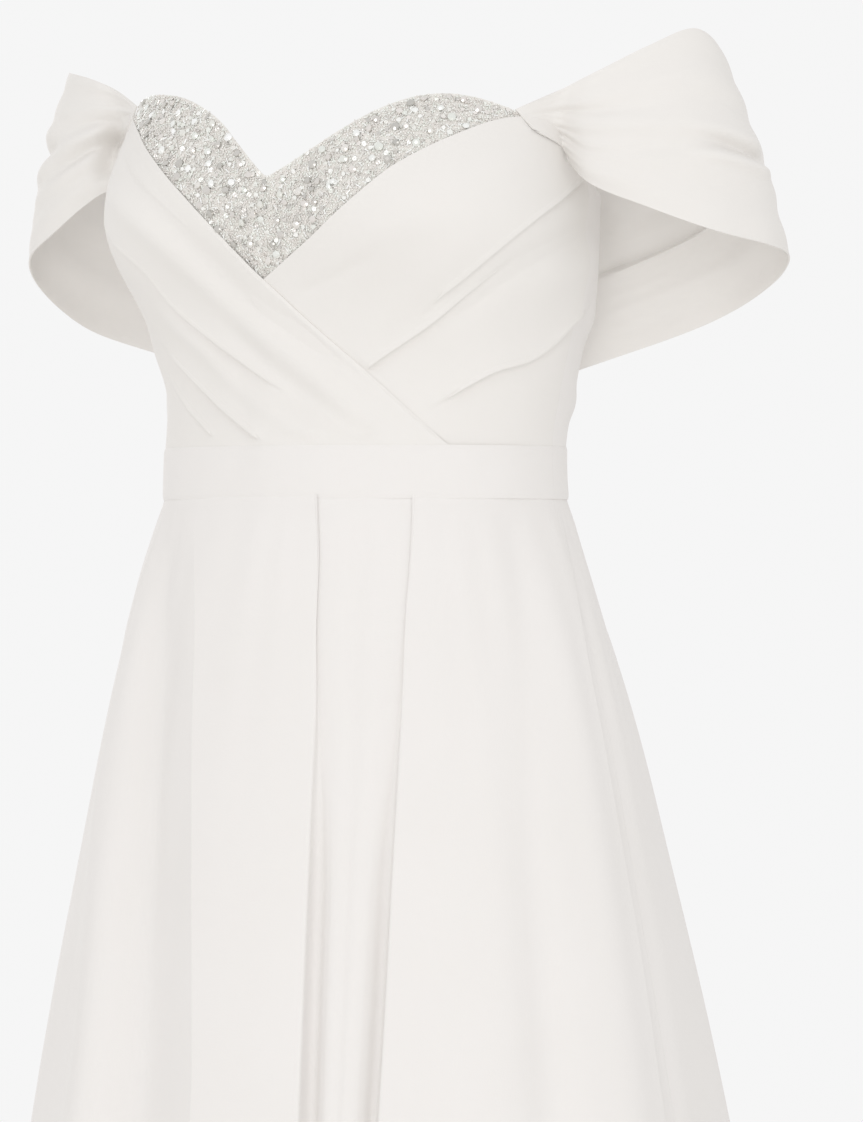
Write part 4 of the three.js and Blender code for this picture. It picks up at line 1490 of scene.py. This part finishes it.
@dataclass
class SequinWork:
    """The beads, sequins and stones sewn over the insert."""

    seed: int = 41
    lift: float = 0.15
    # The net's reach in turns and heights, the rows' share of the spacing, and how far a
    # place strays, as a share of the spacing
    turns: tuple[float, float] = (-61.0, 61.5)
    heights: tuple[float, float] = (95.0, 222.0)
    widest_turn: float = 60.8
    row_share: float = 0.87
    stray: float = 0.33

    def scatter(
        self, spacing: float, margin: float, under: float, salt: int
    ) -> tuple[Array, Array]:
        """Spreads places evenly but irregularly over the part of the insert that shows.

        Args:
            spacing: The mean distance between neighbours, in millimetres.
            margin: The clear distance from the insert's top edge.
            under: How far the places run on under the wraps.
            salt: Picks the pattern.

        Returns:
            The turns and the heights.
        """
        draw = np.random.default_rng(self.seed + salt)
        start, end = (turn * MM_PER_DEGREE for turn in self.turns)
        columns = np.arange(start, end, spacing)
        rows = np.arange(*self.heights, spacing * self.row_share)
        x, z = np.meshgrid(columns, rows)
        x = x + (np.arange(len(rows)) % 2)[:, None] * spacing / 2
        x = x + draw.uniform(-self.stray, self.stray, x.shape) * spacing
        z = z + draw.uniform(-self.stray, self.stray, z.shape) * spacing
        turn, height = x.ravel() / MM_PER_DEGREE, z.ravel()
        kept = height > net_foot(turn) - under
        kept &= height < neckline(turn) - margin
        kept &= np.abs(turn) < self.widest_turn
        return turn[kept], height[kept]

    def frames(
        self, turn: Array, height: Array, out: float, tilt: float, salt: int
    ) -> tuple[Array, Array, Array, Array]:
        """Gives a place and three axes for each trimming, tilted a little at random.

        Args:
            turn: Turns of the places.
            height: Their heights.
            out: How far they stand off the innermost layer.
            tilt: How far the trimmings tip.
            salt: Picks the pattern.

        Returns:
            The places and the three axes.
        """
        draw = np.random.default_rng(self.seed * 3 + salt)
        out = out + 0.4 * np.exp(-(((neckline(turn) - height) / 3.2) ** 2))
        place = bodice(turn, height, out)
        across = bodice(turn + 0.2, height, out) - bodice(turn - 0.2, height, out)
        upward = bodice(turn, height + 0.4, out) - bodice(turn, height - 0.4, out)
        normal = unit(np.cross(across, upward))
        normal = unit(normal + draw.normal(0, tilt, normal.shape))
        first = unit(np.cross(normal, draw.normal(0, 1, normal.shape)))
        return place, first, np.cross(normal, first), normal

    def spread(self, name: str, model: Piece, frames: tuple, sizes: Array,
               salt: int) -> Piece:
        """Copies one modelled trimming to every place and joins the copies.

        Args:
            name: The new piece's name.
            model: The trimming, made once at the origin.
            frames: The places and axes.
            sizes: The scale of each copy.
            salt: Picks the tints.

        Returns:
            The joined piece.
        """
        place, first, second, normal = frames
        count = len(model.data.vertices)
        corners = np.empty(count * 3)
        model.data.vertices.foreach_get("co", corners)
        corners = corners.reshape(-1, 3) * sizes[:, None, None] / MM
        axes = np.stack([first, second, normal], 1)
        points = place[:, None, :] + corners @ axes
        faces = [list(face.vertices) for face in model.data.polygons]
        joined = [[v + k * count for v in face] for k in range(len(place)) for face in faces]
        mesh = bpy.data.meshes.new(name)
        mesh.from_pydata((points.reshape(-1, 3) * MM).tolist(), [], joined)
        tint = np.random.default_rng(self.seed * 7 + salt).uniform(0, 1, len(place))
        mesh.attributes.new("tint", "FLOAT", "POINT").data.foreach_set(
            "value", np.repeat(tint, count)
        )
        mesh.validate()
        bpy.data.objects.remove(model)
        return settle(link(name, mesh))

    def sequin(self) -> Piece:
        """Models one round sequin, 2.8 mm across, slightly cupped.

        Returns:
            The sequin, at the origin.
        """
        bpy.ops.mesh.primitive_cylinder_add(vertices=8, radius=1.4 * MM, depth=0.16 * MM)
        with editing():
            bpy.ops.mesh.poke(offset=-0.22 * MM)
        return bpy.context.object

    def stone(self) -> Piece:
        """Models one faceted stone, 4.4 mm across, with a table and a ring of facets.

        Returns:
            The stone, at the origin.
        """
        bpy.ops.mesh.primitive_cylinder_add(vertices=9, radius=2.2 * MM, depth=1.1 * MM)
        made = bpy.context.object
        with editing():
            bpy.ops.mesh.select_all(action="DESELECT")
        for face in made.data.polygons:
            face.select = face.normal.z > 0.9
        bpy.ops.object.mode_set(mode="EDIT")
        bpy.ops.mesh.select_mode(type="FACE")
        bpy.ops.mesh.inset(thickness=1.15 * MM, depth=0.75 * MM)
        bpy.ops.object.mode_set(mode="OBJECT")
        return made

    def seed_bead(self) -> Piece:
        """Models one seed bead, 1.4 mm across.

        Returns:
            The bead, at the origin.
        """
        bpy.ops.mesh.primitive_ico_sphere_add(subdivisions=1, radius=0.72 * MM)
        with editing():
            bpy.ops.transform.resize(value=(1.0, 1.0, 0.8))
        return bpy.context.object

    def bugle_bead(self) -> Piece:
        """Models one short tube bead, 3.1 mm long, lying on the net.

        Returns:
            The bead, at the origin.
        """
        bpy.ops.mesh.primitive_cylinder_add(vertices=6, radius=0.4 * MM, depth=3.1 * MM)
        with editing():
            bpy.ops.transform.rotate(
                value=math.radians(90), orient_axis="Y", center_override=(0.0, 0.0, 0.0)
            )
        return bpy.context.object

    def build(self) -> dict[str, Piece]:
        """Makes all four kinds of trimming.

        Returns:
            The joined pieces by name.
        """
        draw = np.random.default_rng(self.seed)
        made = {}
        # Name, model, spacing, margin at the neckline, reach under the wraps, height, tilt, salt
        plan = (
            ("seed_beads", self.seed_bead, 1.75, 0.1, 3.5, WALL + 0.2, 0.12, 1),
            ("bugle_beads", self.bugle_bead, 3.3, 0.7, 1.5, WALL + 0.55, 0.1, 2),
            ("sequins", self.sequin, 6.8, 1.0, -1.6, WALL + 0.85, 0.3, 3),
            ("stones", self.stone, 10.0, 2.0, -2.2, WALL + 0.9, 0.2, 4),
        )
        for name, model, spacing, margin, under, out, tilt, salt in plan:
            turn, height = self.scatter(spacing, margin, under, salt)
            sizes = draw.uniform(0.8, 1.12, len(turn))
            frames = self.frames(turn, height, out + self.lift, tilt, salt)
            bpy.ops.object.select_all(action="DESELECT")
            made[name] = self.spread(name, model(), frames, sizes, salt)
            LOG.info("%s: %d of them", name, len(turn))
        return made


@dataclass
class Studio:
    """The floor, the soft lights and the camera at the photograph's angle."""

    azimuth: float = 28.0
    distance_mm: float = 3500.0
    pixels_per_mm: float = 1.733
    frame_px: tuple[int, int] = (863, 1122)
    axis_px: float = 365.0
    eye_height_mm: float = -50.2
    sensor_mm: float = 36.0
    floor_m: float = 8.0
    # Name, place, aim, side in metres and power of each light, all past the floor's edge
    lights: tuple = (
        ("key", (1.7, -4.5, 0.7), (0, 0, -0.1), 1.7, 18.8),
        ("low_fill", (1.0, -4.5, -0.35), (0, 0, -0.1), 1.3, 16),
        ("side_fill", (4.4, -2.3, 0.3), (0, 0, -0.1), 1.8, 10.5),
        ("back_fill", (-4.4, 3.8, 1.1), (0, 0, -0.2), 1.9, 38),
    )

    def camera(self) -> None:
        """Makes the camera and frames the gown as the photograph does."""
        data = bpy.data.cameras.new("camera")
        data.sensor_fit = "VERTICAL"
        data.sensor_height = self.sensor_mm
        focal_px = self.pixels_per_mm * self.distance_mm
        data.lens = focal_px * self.sensor_mm / self.frame_px[1]
        data.clip_end = 100.0
        eye = link("camera", data)
        angle = math.radians(self.azimuth)
        aside = (self.frame_px[0] / 2 - self.axis_px) / self.pixels_per_mm
        right = Vector((math.cos(angle), math.sin(angle), 0))
        toward = Vector((math.sin(angle), -math.cos(angle), 0))
        target = right * aside + Vector((0, 0, self.eye_height_mm))
        eye.location = (target + toward * self.distance_mm) * MM
        eye.rotation_euler = (-toward).to_track_quat("-Z", "Y").to_euler()
        bpy.context.scene.camera = eye

    def softbox(self, name: str, place: tuple, aim: tuple, size: float, power: float) -> None:
        """Adds one square area light.

        Args:
            name: The light's name.
            place: Where it stands, in metres.
            aim: Where it points, in metres.
            size: Its side, in metres.
            power: Its power, in watts.
        """
        data = bpy.data.lights.new(name, "AREA")
        data.size = size
        data.energy = power
        light = link(name, data)
        light.location = place
        light.rotation_euler = (Vector(aim) - Vector(place)).to_track_quat("-Z", "Y").to_euler()

    def build(self) -> None:
        """Makes the camera, the lights, the surrounding light and the floor."""
        self.camera()
        for light in self.lights:
            self.softbox(*light)
        world = bpy.data.worlds.new("soft_light")
        world.use_nodes = True
        sky = world.node_tree.nodes["Background"]
        sky.inputs["Color"].default_value = (1.0, 1.0, 1.0, 1.0)
        sky.inputs["Strength"].default_value = 0.92
        bpy.context.scene.world = world
        bpy.context.scene.view_settings.view_transform = "Standard"
        bpy.ops.object.select_all(action="DESELECT")
        bpy.ops.mesh.primitive_plane_add(size=self.floor_m, location=(0, 0, 0))
        floor = bpy.context.object
        floor.name = "floor"
        with editing():
            bpy.ops.transform.translate(value=(0, 0, (HEM - 1.0) * MM))
        paint = {"Base Color": linear("#efeeec"), "Roughness": 0.9}
        floor.data.materials.append(start_material("pale_floor_paint", paint)[0])


def dress(pieces: list[Piece], material: bpy.types.Material) -> None:
    """Gives one material to each of some pieces.

    Args:
        pieces: The pieces.
        material: Their material.
    """
    for piece in pieces:
        piece.data.materials.clear()
        piece.data.materials.append(material)


def main() -> None:
    """Builds the gown over its frame, piece by piece."""
    logging.basicConfig(level=logging.INFO, format="%(name)s: %(message)s")
    Studio().build()
    crepe, chiffon = CREPE.make(), CHIFFON.make()

    top = Bodice()
    net = top.insert_net()
    wraps = [top.wrap_over(), top.wrap_under()]
    backs = [top.back(1), top.back(-1)]
    sleeves = [Sleeve(1).build(), Sleeve(-1).build()]
    band = Waistband().build()
    skirt = Skirt()
    panels = [skirt.front(), skirt.back(1), skirt.back(-1)]
    dress(wraps + sleeves, chiffon)
    dress(backs + band + panels, crepe)
    dress([net], TULLE.make())

    work = SequinWork().build()
    for name, finish in GLINTS.items():
        dress([work[name]], finish.make())
    for piece in [net, *wraps, *backs, *sleeves, *band, *panels, *work.values()]:
        LOG.info("%s: %d faces", piece.name, len(piece.data.polygons))


if __name__ == "__main__":
    main()
